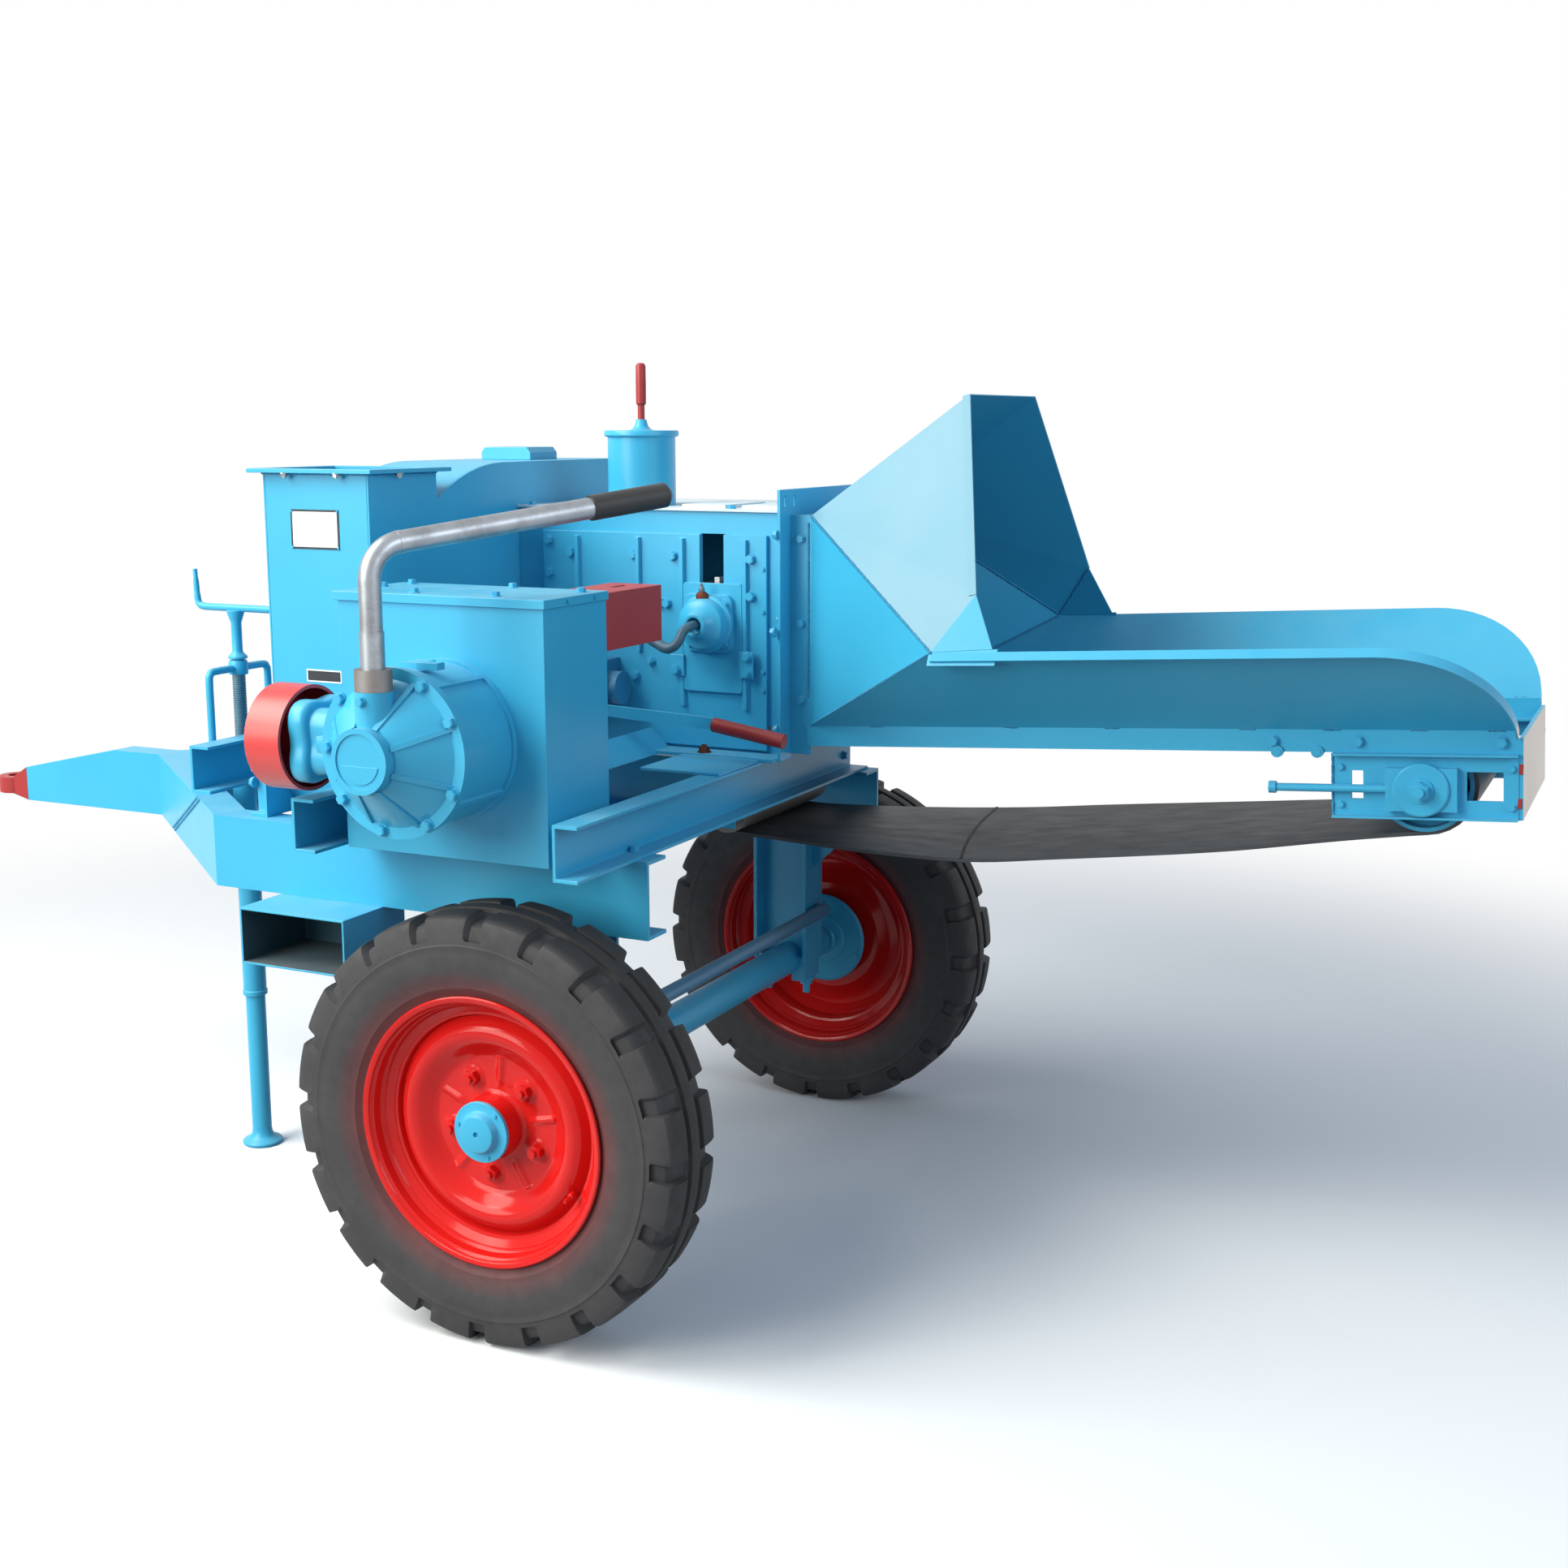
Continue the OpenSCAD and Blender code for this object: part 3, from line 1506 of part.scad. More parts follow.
function belt_arc(i, extra) =
  let (from = tangent_angle((i + 2) % 3, extra))
  let (to = turn_up(from, tangent_angle(i, extra)))
  let (c = belt_wheels[i][0], r = belt_wheels[i][1] + extra)
  [for (k = [0 : arc_steps]) c + r * [cos(from + (to - from) * k / arc_steps), sin(from + (to - from) * k / arc_steps)]];

function hang(p, q) = [
  for (k = [1 : 11])
    let (t = k / 12)
    p + (q - p) * t - [0, belt_sag * 4 * t * (1 - t)]
];

function belt_line(extra) =
  let (tail = belt_arc(0, extra), nose = belt_arc(1, extra), drive = belt_arc(2, extra))
  concat(tail, nose, drive, hang(drive[arc_steps], tail[0]));

module feed_belt() {
  color(rubber)
    slab_y(mid_y - belt_w / 2, belt_w)
      difference() {
        polygon(belt_line(slip + belt_t));
        polygon(belt_line(slip));
      }
}

module belt_roller(r) {
  bar_y(r, wall_y + wall_t + shaft_wall_gap, far_wall_y - wall_t - shaft_wall_gap);
  bar_y(belt_shaft_r, wall_y, far_wall_y);
}

module nose_roller() {
  color(steel) translate([nose_xz[0], 0, nose_xz[1]]) belt_roller(nose_r);
}

module belt_drive_roller() {
  color(steel) translate([drive_xz[0], 0, drive_xz[1]]) belt_roller(drive_r);
}

module tail_roller() {
  color(blue)
    translate([tail_xz[0], 0, tail_xz[1]]) {
      tube_roller(tail_r, belt_shaft_r, mid_y - belt_w / 2 - 8, mid_y + belt_w / 2 + 8);
      bar_y(belt_shaft_r, wall_y - 24, far_wall_y + 24);
    }
}

// Side plate under the table's end with a slot, a window and the take-up block
module tail_bracket() {
  s0 = table_l - bracket_l;
  rod_out = 15.5;
  difference() {
    union() {
      translate([s0, wall_y - 6, -bracket_h]) cube([bracket_l, 6, bracket_h]);
      translate([s0, wall_y - 24, -bracket_h]) cube([bracket_l, 19, 4]);
      translate([s0, wall_y - 24, -4]) cube([bracket_l, 19, 4]);
      translate([tail_s - 66, wall_y - 24, -tail_drop - 42]) cube([132, 20, 84]);
      translate([s0 - 110, wall_y - rod_out, -tail_drop]) bar_x(8, 0, tail_s - 60 - s0 + 110);
      translate([s0 - 122, wall_y - rod_out, -tail_drop]) bar_x(12, 0, 14);
    }
    translate([s0 + 36, wall_y - 7, -91]) cube([22, 8, 56]);
    translate([s0 + 250, wall_y - 7, -91]) cube([66, 8, 56]);
    translate([tail_s, 0, -tail_drop]) bar_y(belt_shaft_r + fit, wall_y - 30, wall_y + 1);
  }
}

module tail_brackets() {
  color(blue)
    table_frame()
      mirror_mid() tail_bracket();
}

at_home() near_rail();
at_home() far_rail();
at_home() drawbar();
at_home() tow_eye();
at_home() front_cross_channel();
at_home() mid_cross_channel();
at_home() rear_cross_channel();
at_home() step_box();
at_home() casing_brackets();
at_home() axle_posts();
at_home() axle_beam();
at_home() brake_shaft();
at_home() brake_backplates();
at_home() near_rim();
at_home() near_tyre();
at_home() near_hub_cap();
at_home() near_wheel_nuts();
at_home() far_rim();
at_home() far_tyre();
at_home() far_hub_cap();
at_home() far_wheel_nuts();
at_home() jack_sleeve();
at_home() jack_leg();
at_home() jack_crank();
at_home() drive_case();
at_home() drive_case_lid();
at_home() bevel_housing();
at_home() bevel_cover();
at_home() clutch_lever();
at_home() clutch_lever_grip();
at_home() bearing_carrier();
at_home() drive_pulley();
at_home() feed_drive_guard();
at_home() lower_drive_guard();
at_home() cross_shaft();
at_home() angle_drive();
at_home() casing_band();
at_home() casing_front_wall();
at_home() casing_rear_wall();
at_home() roof_hatch();
at_home() chute_flange();
at_home() knife_wheel();
at_home() feed_housing();
at_home() side_panel();
at_home() top_cover();
at_home() bearing_plates();
at_home() upper_feed_roller();
at_home() lower_feed_roller();
at_home() upper_press_roller();
at_home() lower_press_roller();
at_home() spring_pot();
at_home() shift_lever();
at_home() feed_lever();
at_home() hopper();
at_home() feed_table();
at_home() feed_belt();
at_home() nose_roller();
at_home() belt_drive_roller();
at_home() tail_roller();
at_home() tail_brackets();
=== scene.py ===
# Trailed chaff cutter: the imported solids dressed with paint, rubber, bolts and welds
import json
import math
import random
import bmesh
import bpy
from functools import partial
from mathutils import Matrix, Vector


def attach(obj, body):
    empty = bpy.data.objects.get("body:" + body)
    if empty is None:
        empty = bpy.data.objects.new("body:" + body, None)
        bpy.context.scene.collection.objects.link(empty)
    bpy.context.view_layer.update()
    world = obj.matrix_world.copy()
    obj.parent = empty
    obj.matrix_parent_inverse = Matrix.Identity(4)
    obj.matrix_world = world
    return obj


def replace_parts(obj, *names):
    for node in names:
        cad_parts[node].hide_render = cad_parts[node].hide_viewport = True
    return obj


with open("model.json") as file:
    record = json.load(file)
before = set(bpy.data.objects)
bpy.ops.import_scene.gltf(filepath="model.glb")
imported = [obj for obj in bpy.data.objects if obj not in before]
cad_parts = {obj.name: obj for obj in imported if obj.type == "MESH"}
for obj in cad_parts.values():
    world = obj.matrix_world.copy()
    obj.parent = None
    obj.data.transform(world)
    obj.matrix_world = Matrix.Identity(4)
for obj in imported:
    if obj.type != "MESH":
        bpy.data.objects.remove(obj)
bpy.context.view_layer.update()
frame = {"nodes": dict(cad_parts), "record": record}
nodes = frame["nodes"]
scene = bpy.context.scene
home = Vector((0.178, 0.061, 0.0))  # the axle's middle on the ground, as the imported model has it
print("frame loaded:", len(nodes), "nodes")


def at(x, y, z):  # a place in mm from the axle's middle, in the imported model's metres
    return Vector((x, y, z)) * 0.001 + home


def hexToLinear(code):
    parts = [int(code[i:i + 2], 16) / 255 for i in (1, 3, 5)]
    return tuple(v / 12.92 if v <= 0.04045 else ((v + 0.055) / 1.055) ** 2.4 for v in parts) + (1.0,)


# a kind without its prefix is one of the tree's own, and a linked node stands for its first output in use
def addNode(tree, kind, settings=None, links=None):
    node = tree.nodes.new(kind if "Node" in kind else tree.bl_idname[:-4] + kind)
    for key, value in (settings or {}).items():
        if isinstance(value, str) and value.startswith("#"):
            value = hexToLinear(value)
        if isinstance(key, str) and hasattr(node, key):
            setattr(node, key, value)
        else:
            node.inputs[key].default_value = value
    for key, source in (links or {}).items():
        if isinstance(source, bpy.types.Node):
            source = next(socket for socket in source.outputs if socket.enabled)
        tree.links.new(source, node.inputs[key])
    return node


def emptyTree(owner):
    owner.use_nodes = True
    owner.node_tree.nodes.clear()
    return partial(addNode, owner.node_tree)


def addObject(name, data):
    made = bpy.data.objects.new(name, data)
    scene.collection.objects.link(made)
    return made


# camera and studio

viewpoint = {"place": (2.2450, -3.7538, 1.7885), "yaw": 0.446, "pitch": 0.185, "lens": 44.6, "sensor": 36.0}
studio = {"floorColour": "#f2f4f7", "floorBounce": "#8a8c90", "floorHalf": 30.0, "fadeFrom": 2.6, "fadeTo": 5.0,
          "skyColour": "#dcecff", "skyLight": 0.36, "aim": (0.0, 0.0, 0.9),
          "lamps": [("keySoftbox", (-2.7, -5.8, 3.2), 3.6, 325.0, "#fffdf2"),
                    ("windowSoftbox", (-3.2, -2.8, 5.3), 3.8, 410.0, "#fffdf4"),
                    ("sideSoftbox", (6.0, -1.6, 3.6), 3.0, 105.0, "#eaf4ff")]}


def makeStudio():
    cameraData = bpy.data.cameras.new("photoView")
    cameraData.lens = viewpoint["lens"]
    cameraData.sensor_width = viewpoint["sensor"]
    camera = addObject("photoView", cameraData)
    camera.location = viewpoint["place"]
    camera.rotation_euler = (math.pi / 2 - viewpoint["pitch"], 0, viewpoint["yaw"])
    scene.camera = camera
    scene.view_settings.view_transform = "Standard"
    half = studio["floorHalf"]
    floorMesh = bpy.data.meshes.new("paleFloor")
    floorMesh.from_pydata([(-half, -half, 0), (half, -half, 0), (half, half, 0), (-half, half, 0)], [], [(0, 1, 2, 3)])
    floor = addObject("paleFloor", floorMesh)
    floorMesh.materials.append(studioPaper())
    for name, place, size, power, tint in studio["lamps"]:
        lampData = bpy.data.lights.new(name, "AREA")
        lampData.size = size
        lampData.energy = power
        lampData.color = hexToLinear(tint)[:3]
        lamp = addObject(name, lampData)
        lamp.location = place
        lamp.rotation_euler = (Vector(studio["aim"]) - Vector(place)).to_track_quat("-Z", "Y").to_euler()
    scene.world = bpy.data.worlds.new("studioSky")
    add = emptyTree(scene.world)
    soft = add("Background", {"Color": studio["skyColour"], "Strength": studio["skyLight"]})
    white = add("Background", {"Color": "#ffffff", "Strength": 1.0})
    mixed = add("MixShader", {}, {0: seenShare(add), 1: soft, 2: white})
    add("OutputWorld", {}, {"Surface": mixed})
    print("studio ready")


def seenShare(add):  # 1 for rays that show the background itself or its reflection
    path = add("LightPath").outputs
    seen = path["Is Camera Ray"]
    for ray in ("Is Glossy Ray", "Is Transmission Ray"):
        seen = add("Math", {"operation": "MAXIMUM"}, {0: seen, 1: path[ray]})
    return seen


# Matte seamless paper: holds the object's shadow near it and runs out to plain white further off
def studioPaper():
    paper = bpy.data.materials.new("matteStudioPaper")
    add = emptyTree(paper)
    seen = seenShare(add)
    tint = add("Mix", {"data_type": "RGBA", 6: studio["floorBounce"], 7: studio["floorColour"]}, {0: seen})
    sheet = add("BsdfDiffuse", {}, {"Color": tint})
    reach = add("VectorMath", {"operation": "LENGTH"}, {0: add("TexCoord").outputs["Object"]})
    run = {"interpolation_type": "SMOOTHSTEP", 1: studio["fadeFrom"], 2: studio["fadeTo"]}
    faded = add("Math", {"operation": "MULTIPLY"}, {0: add("MapRange", run, {0: reach}), 1: seen})
    bright = add("Emission", {"Color": "#ffffff", "Strength": 1.0})
    mixed = add("MixShader", {}, {0: faded, 1: sheet, 2: bright})
    add("OutputMaterial", {}, {"Surface": mixed})
    return paper


makeStudio()


# finishes: a look names its noise patterns, each with its size in mm, detail, roughness,
# and for relief a bump's strength and height in m

def startMaterial(name, look, colour, deep, clouds, stretch=(1, 1, 1)):  # the look's first pattern clouds the colour
    material = bpy.data.materials.new(name)
    add = emptyTree(material)
    place = add("Mapping", {"Scale": stretch}, {"Vector": add("TexCoord").outputs["Object"]})
    fields, normal = {}, {}
    for field, (sizeMm, detail, rough, *relief) in look.items():
        noise = {"Scale": 1000 / sizeMm, "Detail": detail, "Roughness": rough}
        fields[field] = add("TexNoise", noise, {"Vector": place})
        if relief:
            bump = {"Strength": relief[0], "Distance": relief[1]}
            normal = {"Normal": add("Bump", bump, {"Height": fields[field], **normal})}
    low, high, share = clouds
    cloud = add("MapRange", {1: low, 2: high, 4: share}, {0: next(iter(fields.values()))})
    tone = add("Mix", {"data_type": "RGBA", 6: colour, 7: deep}, {0: cloud})
    return material, add, fields, normal, tone


def coat(add, normal, tone, rough, settings):
    shader = add("BsdfPrincipled", settings, {"Base Color": tone, "Roughness": rough, **normal})
    add("OutputMaterial", {}, {"Surface": shader})


# Alkyd machine enamel, sprayed over brush marks on rolled steel: a wet gloss with fine orange peel,
# slow waves where the sheet has drawn, faint clouds in the colour, and dust on what lies level
enamelLook = {"cloud": (420, 5.0, 0.5), "dust": (90, 6.0, 0.5), "edgeWearAndSheen": (60, 8.0, 0.7),
              "wave": (260, 1.0, 0.5, 0.5, 0.004), "peel": (7, 2.0, 0.5, 0.25, 0.0004)}


def enamel(name, colour, deep, dust, edgeWearAndSheen, gloss=0.26, dusty=0.35, edgeWearAndSheenAmount=0.45, shine=0.36):
    material, add, fields, normal, tone = startMaterial(name, enamelLook, colour, deep, (0.35, 0.7, 1.0))
    # dust lies on level faces, in patches
    upward = add("SeparateXYZ", {}, {0: add("TexCoord").outputs["Normal"]})
    level = add("MapRange", {1: 0.55, 2: 1.0, 4: dusty}, {0: upward.outputs["Z"]})
    patch = add("MapRange", {1: 0.3, 2: 0.75, 3: 0.25}, {0: fields["dust"]})
    dustShare = add("Math", {"operation": "MULTIPLY"}, {0: level, 1: patch})
    # edges painted paler, partly for paint rubbed thin there and partly as a painted highlight along them, broken up by
    # noise
    softNormal = add("Bevel", {"samples": 3, "Radius": 0.0035})
    shape = add("NewGeometry").outputs
    same = add("VectorMath", {"operation": "DOT_PRODUCT"}, {0: softNormal, 1: shape["Normal"]})
    edge = add("MapRange", {1: 0.985, 2: 0.86}, {0: same})
    edgeBreakup = add("MapRange", {1: 0.48, 2: 0.66, 4: edgeWearAndSheenAmount}, {0: fields["edgeWearAndSheen"]})
    edgeWearAndSheenShare = add("Math", {"operation": "MULTIPLY"}, {0: edge, 1: edgeBreakup})
    for share, tint in ((dustShare, dust), (edgeWearAndSheenShare, edgeWearAndSheen)):
        tone = add("Mix", {"data_type": "RGBA", 7: tint}, {0: share, 6: tone})
    dull = add("MapRange", {1: 0.0, 2: 0.5, 3: gloss, 4: 0.62}, {0: dustShare})
    rough = add("Math", {"operation": "MULTIPLY_ADD", 1: 0.12}, {0: fields["cloud"], 2: dull})
    coat(add, normal, tone, rough, {"IOR": 1.5, "Specular IOR Level": shine})
    return material


# Black carbon rubber, moulded: dull, with brown-grey dust in its pores and a faint bloom
rubberLook = {"bloom": (130, 7.0, 0.62), "scuff": (26, 5.0, 0.5, 0.3, 0.0012), "grain": (3, 3.0, 0.5, 0.35, 0.0005)}
wheelAt = {"halfTrack": 782, "height": 436}
sidewall = {"mist": (0.268, 0.33), "tread": (0.426, 0.434, 0.85), "treadColour": "#161618"}  # reaches in m, and a share


def rubber(name, colour, bloom, rough, bloomShare, stretch=(1, 1, 1), haze=None):
    clouds = (0.38, 0.72, bloomShare)
    material, add, fields, normal, tone = startMaterial(name, rubberLook, colour, bloom, clouds, stretch)
    if haze:  # red paint mist that the rim's spraying left on the sidewall, and the tread darker all round
        hub = {"Location": (-home.x, 0, -wheelAt["height"] / 1000), "Scale": (1, 0, 1)}
        local = add("Mapping", hub, {"Vector": add("TexCoord").outputs["Object"]})
        reach = add("VectorMath", {"operation": "LENGTH"}, {0: local})
        inner, outer = sidewall["mist"]
        ring = add("MapRange", {1: inner, 2: outer, 3: 1.0, 4: 0.0}, {0: reach})
        mist = add("Math", {"operation": "MULTIPLY"}, {0: ring, 1: fields["bloom"]})
        inner, outer, share = sidewall["tread"]
        darkTread = add("MapRange", {1: inner, 2: outer, 4: share}, {0: reach})
        for share, tint in ((mist, haze), (darkTread, sidewall["treadColour"])):
            tone = add("Mix", {"data_type": "RGBA", 7: tint}, {0: share, 6: tone})
    coat(add, normal, tone, add("MapRange", {3: rough - 0.12, 4: rough + 0.12}, {0: fields["scuff"]}), {})
    return material


# Mild steel, drawn or turned and handled bare: grey metal with fine streaks and a brown tarnish
steelLook = {"tarnish": (55, 7.0, 0.65), "streak": (2.5, 2.0, 0.5, 0.2, 0.0003)}


def steel(name, colour, tarnish, rough, tarnishShare):
    clouds = (0.45, 0.75, tarnishShare)
    material, add, fields, normal, tone = startMaterial(name, steelLook, colour, tarnish, clouds)
    roughStep = add("MapRange", {3: rough - 0.08, 4: rough + 0.2}, {0: fields["tarnish"]})
    coat(add, normal, tone, roughStep, {"Metallic": 1.0})
    return material


# each enamel's last colour is its paler edge tone: paint rubbed thin, and a painted highlight along the edges
skyEnamel = enamel("skyBlueEnamel", "#41b1d9", "#3aa8d1", "#9dbcc6", "#7cc6e2")
deepEnamel = enamel("deepBlueEnamel", "#3585ad", "#2c759c", "#8ba4b0", "#6f9fb8", gloss=0.3)
paleEnamel = enamel("paleBlueEnamel", "#d2e0e7", "#b4d2e0", "#e2e8ea", "#cfdfe6", gloss=0.2, dusty=0.85)
# blue gone grey where it was handled
shaftEnamel = enamel("wornShaftEnamel", "#4f86a6", "#437a9a", "#8fa0a8", "#a5adb1", gloss=0.3, dusty=0.5, edgeWearAndSheenAmount=0.8)
redEnamel = enamel("signalRedEnamel", "#d82320", "#cf1c1a", "#c9857c", "#d8443c", gloss=0.07, dusty=0.0, edgeWearAndSheenAmount=0.3,
                   shine=0.2)
pulleyEnamel = enamel("beltPolishedRedEnamel", "#d23b3a", "#c83231", "#c9857c", "#e28a84", gloss=0.3, dusty=0.0,
                      shine=0.6)
handleEnamel = enamel("handleRedEnamel", "#a83334", "#962c2d", "#a87a78", "#6d5755", gloss=0.34, edgeWearAndSheenAmount=0.8)
guardEnamel = enamel("oxideRedEnamel", "#bb322a", "#a82a24", "#b07c7c", "#c06a62", gloss=0.36, dusty=0.2)
tyreRubber = rubber("tyreRubber", "#2a2a2d", "#454345", 0.7, 0.55, haze="#7d2222")
beltRubber = rubber("beltRubber", "#23282c", "#43494e", 0.5, 0.8, stretch=(0.35, 1.0, 1.0))
spliceRubber = rubber("spliceRubber", "#141516", "#232425", 0.6, 0.3)
gripRubber = rubber("gripRubber", "#232527", "#3c3e40", 0.48, 0.4)
tubeSteel = steel("drawnTubeSteel", "#a0a6ad", "#5d5855", 0.34, 0.55)
turnedSteel = steel("turnedSteel", "#a9acb0", "#7d746a", 0.3, 0.35)
castSteel = steel("castCollarSteel", "#83807f", "#716a66", 0.55, 0.5)
pipeSteel = steel("dullPipeSteel", "#6f777d", "#4d5054", 0.5, 0.6)
pipeEnamel = enamel("greyBluePipeEnamel", "#46697c", "#3a5868", "#6f8590", "#5b7f90", gloss=0.4)
rustySteel = steel("rustyBoltSteel", "#6b4a3c", "#7d3f2c", 0.6, 0.8)
# dark blue-grey for the step box's inside: painted shade in the recess, with some grime
shadeAndGrimeEnamel = enamel("shadeAndGrimeBlueEnamel", "#3c6274", "#35505c", "#6a6862", "#5c7682", gloss=0.5, dusty=0.8)
# paler blue that stands in for a painted reflection of the lamps on faces turned towards them
paintedSheenEnamel = enamel("paintedSheenBlueEnamel", "#72a5b8", "#5c9fba", "#93b7c4", "#8bbccf", gloss=0.36, dusty=0.5)
# darker blue for the weld beads: painted shade among the beads
weldShadeEnamel = enamel("weldShadeBlueEnamel", "#2f93bd", "#2783ab", "#7fa9b8", "#6cb6d4", gloss=0.3)
plateSheet = enamel("paleSheet", "#fff0e0", "#f4e2d2", "#f6ebe0", "#c9b8ab", gloss=0.42, dusty=0.1)
labelWhite = enamel("whiteLabelEnamel", "#e8ecee", "#dde3e6", "#dcdcd8", "#c9ced0", gloss=0.3, dusty=0.1)
labelDark = enamel("darkLabelEnamel", "#2a3138", "#22282e", "#6d7478", "#8a9297", gloss=0.34, dusty=0.1)
finishBySlot = {"blue_paint": skyEnamel, "dark_blue_paint": deepEnamel, "red_paint": redEnamel,
                "dark_red_paint": guardEnamel, "bare_steel": turnedSteel, "tyre_rubber": tyreRubber,
                "black_rubber": beltRubber, "pale_blue_paint": paleEnamel}
print("finishes ready:", len(bpy.data.materials))


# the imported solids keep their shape: corners are welded and eased, round faces shade smoothly

easing = {"weldMm": 0.02, "cornerMm": 1.4, "cornerDegrees": 34, "flatNodes": {"hopper": 0.8}}
nodeFinish = {"clutch_lever": tubeSteel, "clutch_lever_grip": gripRubber, "shift_lever": handleEnamel,
              "tow_eye": handleEnamel, "drive_pulley": pulleyEnamel, "axle_beam": skyEnamel}
for roller in ("belt_drive", "lower_feed", "upper_press", "lower_press", "nose"):
    nodeFinish[roller + "_roller"] = castSteel
# parts of one solid that carry another finish: a test on each face's middle, in mm from the axle
faceFinish = {"feed_lever": (handleEnamel, lambda c, n: c.x > 124),
              "clutch_lever": (castSteel, lambda c, n: c.z < 1342 and abs(n.z) < 0.99 or c.z < 1341),
              # the step box's inside takes the dark enamel as painted shade, with some grime
              "step_box": (shadeAndGrimeEnamel, lambda c, n: -688 < c.x < -420 and 658 < c.z < 776 and c.y > -714),
              # hopper faces turned up and to the front take the paler enamel as a painted reflection
              "hopper": (paintedSheenEnamel, lambda c, n: n.z > 0.25 and n.y < -0.5 and n.x < -0.1),
              "feed_table": (plateSheet, lambda c, n: c.x > 1755 and n.x > 0.9)}


def easeEdges(piece, widthMm):
    ease = piece.modifiers.new("easedEdges", "BEVEL")
    ease.width = widthMm / 1000
    ease.segments = 2
    ease.limit_method = "ANGLE"
    ease.angle_limit = math.radians(easing["cornerDegrees"])
    ease.harden_normals = True
    return piece


def dressSolids():
    slotOf = {row["node"]: row["material_slot"] for row in frame["record"]["subparts"]}
    for name, solid in nodes.items():
        mesh = solid.data
        mesh.materials.clear()
        mesh.materials.append(nodeFinish.get(name, finishBySlot[slotOf[name]]))
        if "custom_normal" in mesh.attributes:
            mesh.attributes.remove(mesh.attributes["custom_normal"])
        mesh.polygons.foreach_set("use_smooth", [name not in easing["flatNodes"]] * len(mesh.polygons))
        if name in faceFinish:
            finish, test = faceFinish[name]
            mesh.materials.append(finish)
            chosen = [int(test((face.center - home) * 1000, face.normal)) for face in mesh.polygons]
            mesh.polygons.foreach_set("material_index", chosen)
        weld = solid.modifiers.new("joinedCorners", "WELD")
        weld.merge_threshold = easing["weldMm"] / 1000
        easeEdges(solid, easing["flatNodes"].get(name, easing["cornerMm"]))
    print("solids dressed:", len(nodes))


dressSolids()


# mesh helpers: a piece keeps its place in its mesh and rides on its body

sides = ((-1, "near"), (1, "far"))
front, back, up, down = (0, -1, 0), (0, 1, 0), (0, 0, 1), (0, 0, -1)
forward, rearward = (-1, 0, 0), (1, 0, 0)
feedMiddle = 280  # the feed's middle plane, y in mm


def addPiece(name, points, faces, finishes, body, smooth=True, faceMaterials=None):
    mesh = bpy.data.meshes.new(name)
    mesh.from_pydata([at(*p) for p in points], [], faces)
    if faceMaterials:
        mesh.polygons.foreach_set("material_index", faceMaterials)
    shape = bmesh.new()
    shape.from_mesh(mesh)
    bmesh.ops.remove_doubles(shape, verts=shape.verts, dist=easing["weldMm"] / 1000)
    bmesh.ops.recalc_face_normals(shape, faces=shape.faces)
    shape.to_mesh(mesh)
    shape.free()
    mesh.polygons.foreach_set("use_smooth", [smooth] * len(mesh.polygons))
    for finish in finishes:
        mesh.materials.append(finish)
    piece = addObject(name, mesh)
    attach(piece, body)
    return piece


def crease(piece, degrees):
    split = piece.modifiers.new("creases", "EDGE_SPLIT")
    split.split_angle = math.radians(degrees)
    return piece


def smoothThrough(points, steps):  # a soft curve through the given points
    curve = []
    for i in range(len(points) - 1):
        a, b = points[max(i - 1, 0)], points[i]
        c, d = points[i + 1], points[min(i + 2, len(points) - 1)]
        for k in range(steps):
            t = k / steps
            curve.append(tuple(0.5 * (2 * b[j] + (c[j] - a[j]) * t + (2 * a[j] - 5 * b[j] + 4 * c[j] - d[j]) * t * t
                                      + (3 * b[j] - a[j] - 3 * c[j] + d[j]) * t ** 3) for j in range(len(b))))
    return curve + [tuple(points[-1])]


def ringPlaces(centre, radius, angles, plane):  # places around a centre, in the plane named by two axes
    spots = []
    for a in angles:
        p = list(centre)
        p["xyz".index(plane[0])] += radius * math.cos(math.radians(a))
        p["xyz".index(plane[1])] += radius * math.sin(math.radians(a))
        spots.append(tuple(p))
    return spots


def sweepRings(rings, closed=True, looped=True):  # faces between rings of equal length, joined in a loop or capped
    count, size = len(rings), len(rings[0])
    faces = []
    for i in range(count if looped else count - 1):
        for j in range(size if closed else size - 1):
            k = (j + 1) % size
            n = (i + 1) % count
            faces.append((i * size + j, i * size + k, n * size + k, n * size + j))
    if not looped:
        faces += [tuple(range(size)), tuple(range((count - 1) * size, count * size))]
    return [p for ring in rings for p in ring], faces


def spinProfile(profile, place, axis, segments, closed, lift=None):
    towards = Vector(axis).normalized()
    first = towards.orthogonal().normalized() if abs(towards.y) < 0.9 else Vector((1, 0, 0))
    second = towards.cross(first) if abs(towards.y) < 0.9 else Vector((0, 0, 1))
    rings = []
    for i in range(segments):
        turn = 2 * math.pi * i / segments
        ring = []
        for r, h in profile:
            rise = h + (lift(r, turn, h) if lift else 0.0)
            ring.append(tuple(Vector(place) + (first * math.cos(turn) + second * math.sin(turn)) * r + towards * rise))
        rings.append(ring)
    return sweepRings(rings, closed)


def joinShells(shells):
    points, faces = [], []
    for more, rings in shells:
        faces += [tuple(k + len(points) for k in face) for face in rings]
        points += more
    return points, faces


# tyres: moulded casing with shoulder blocks, two grooves and a sidewall line

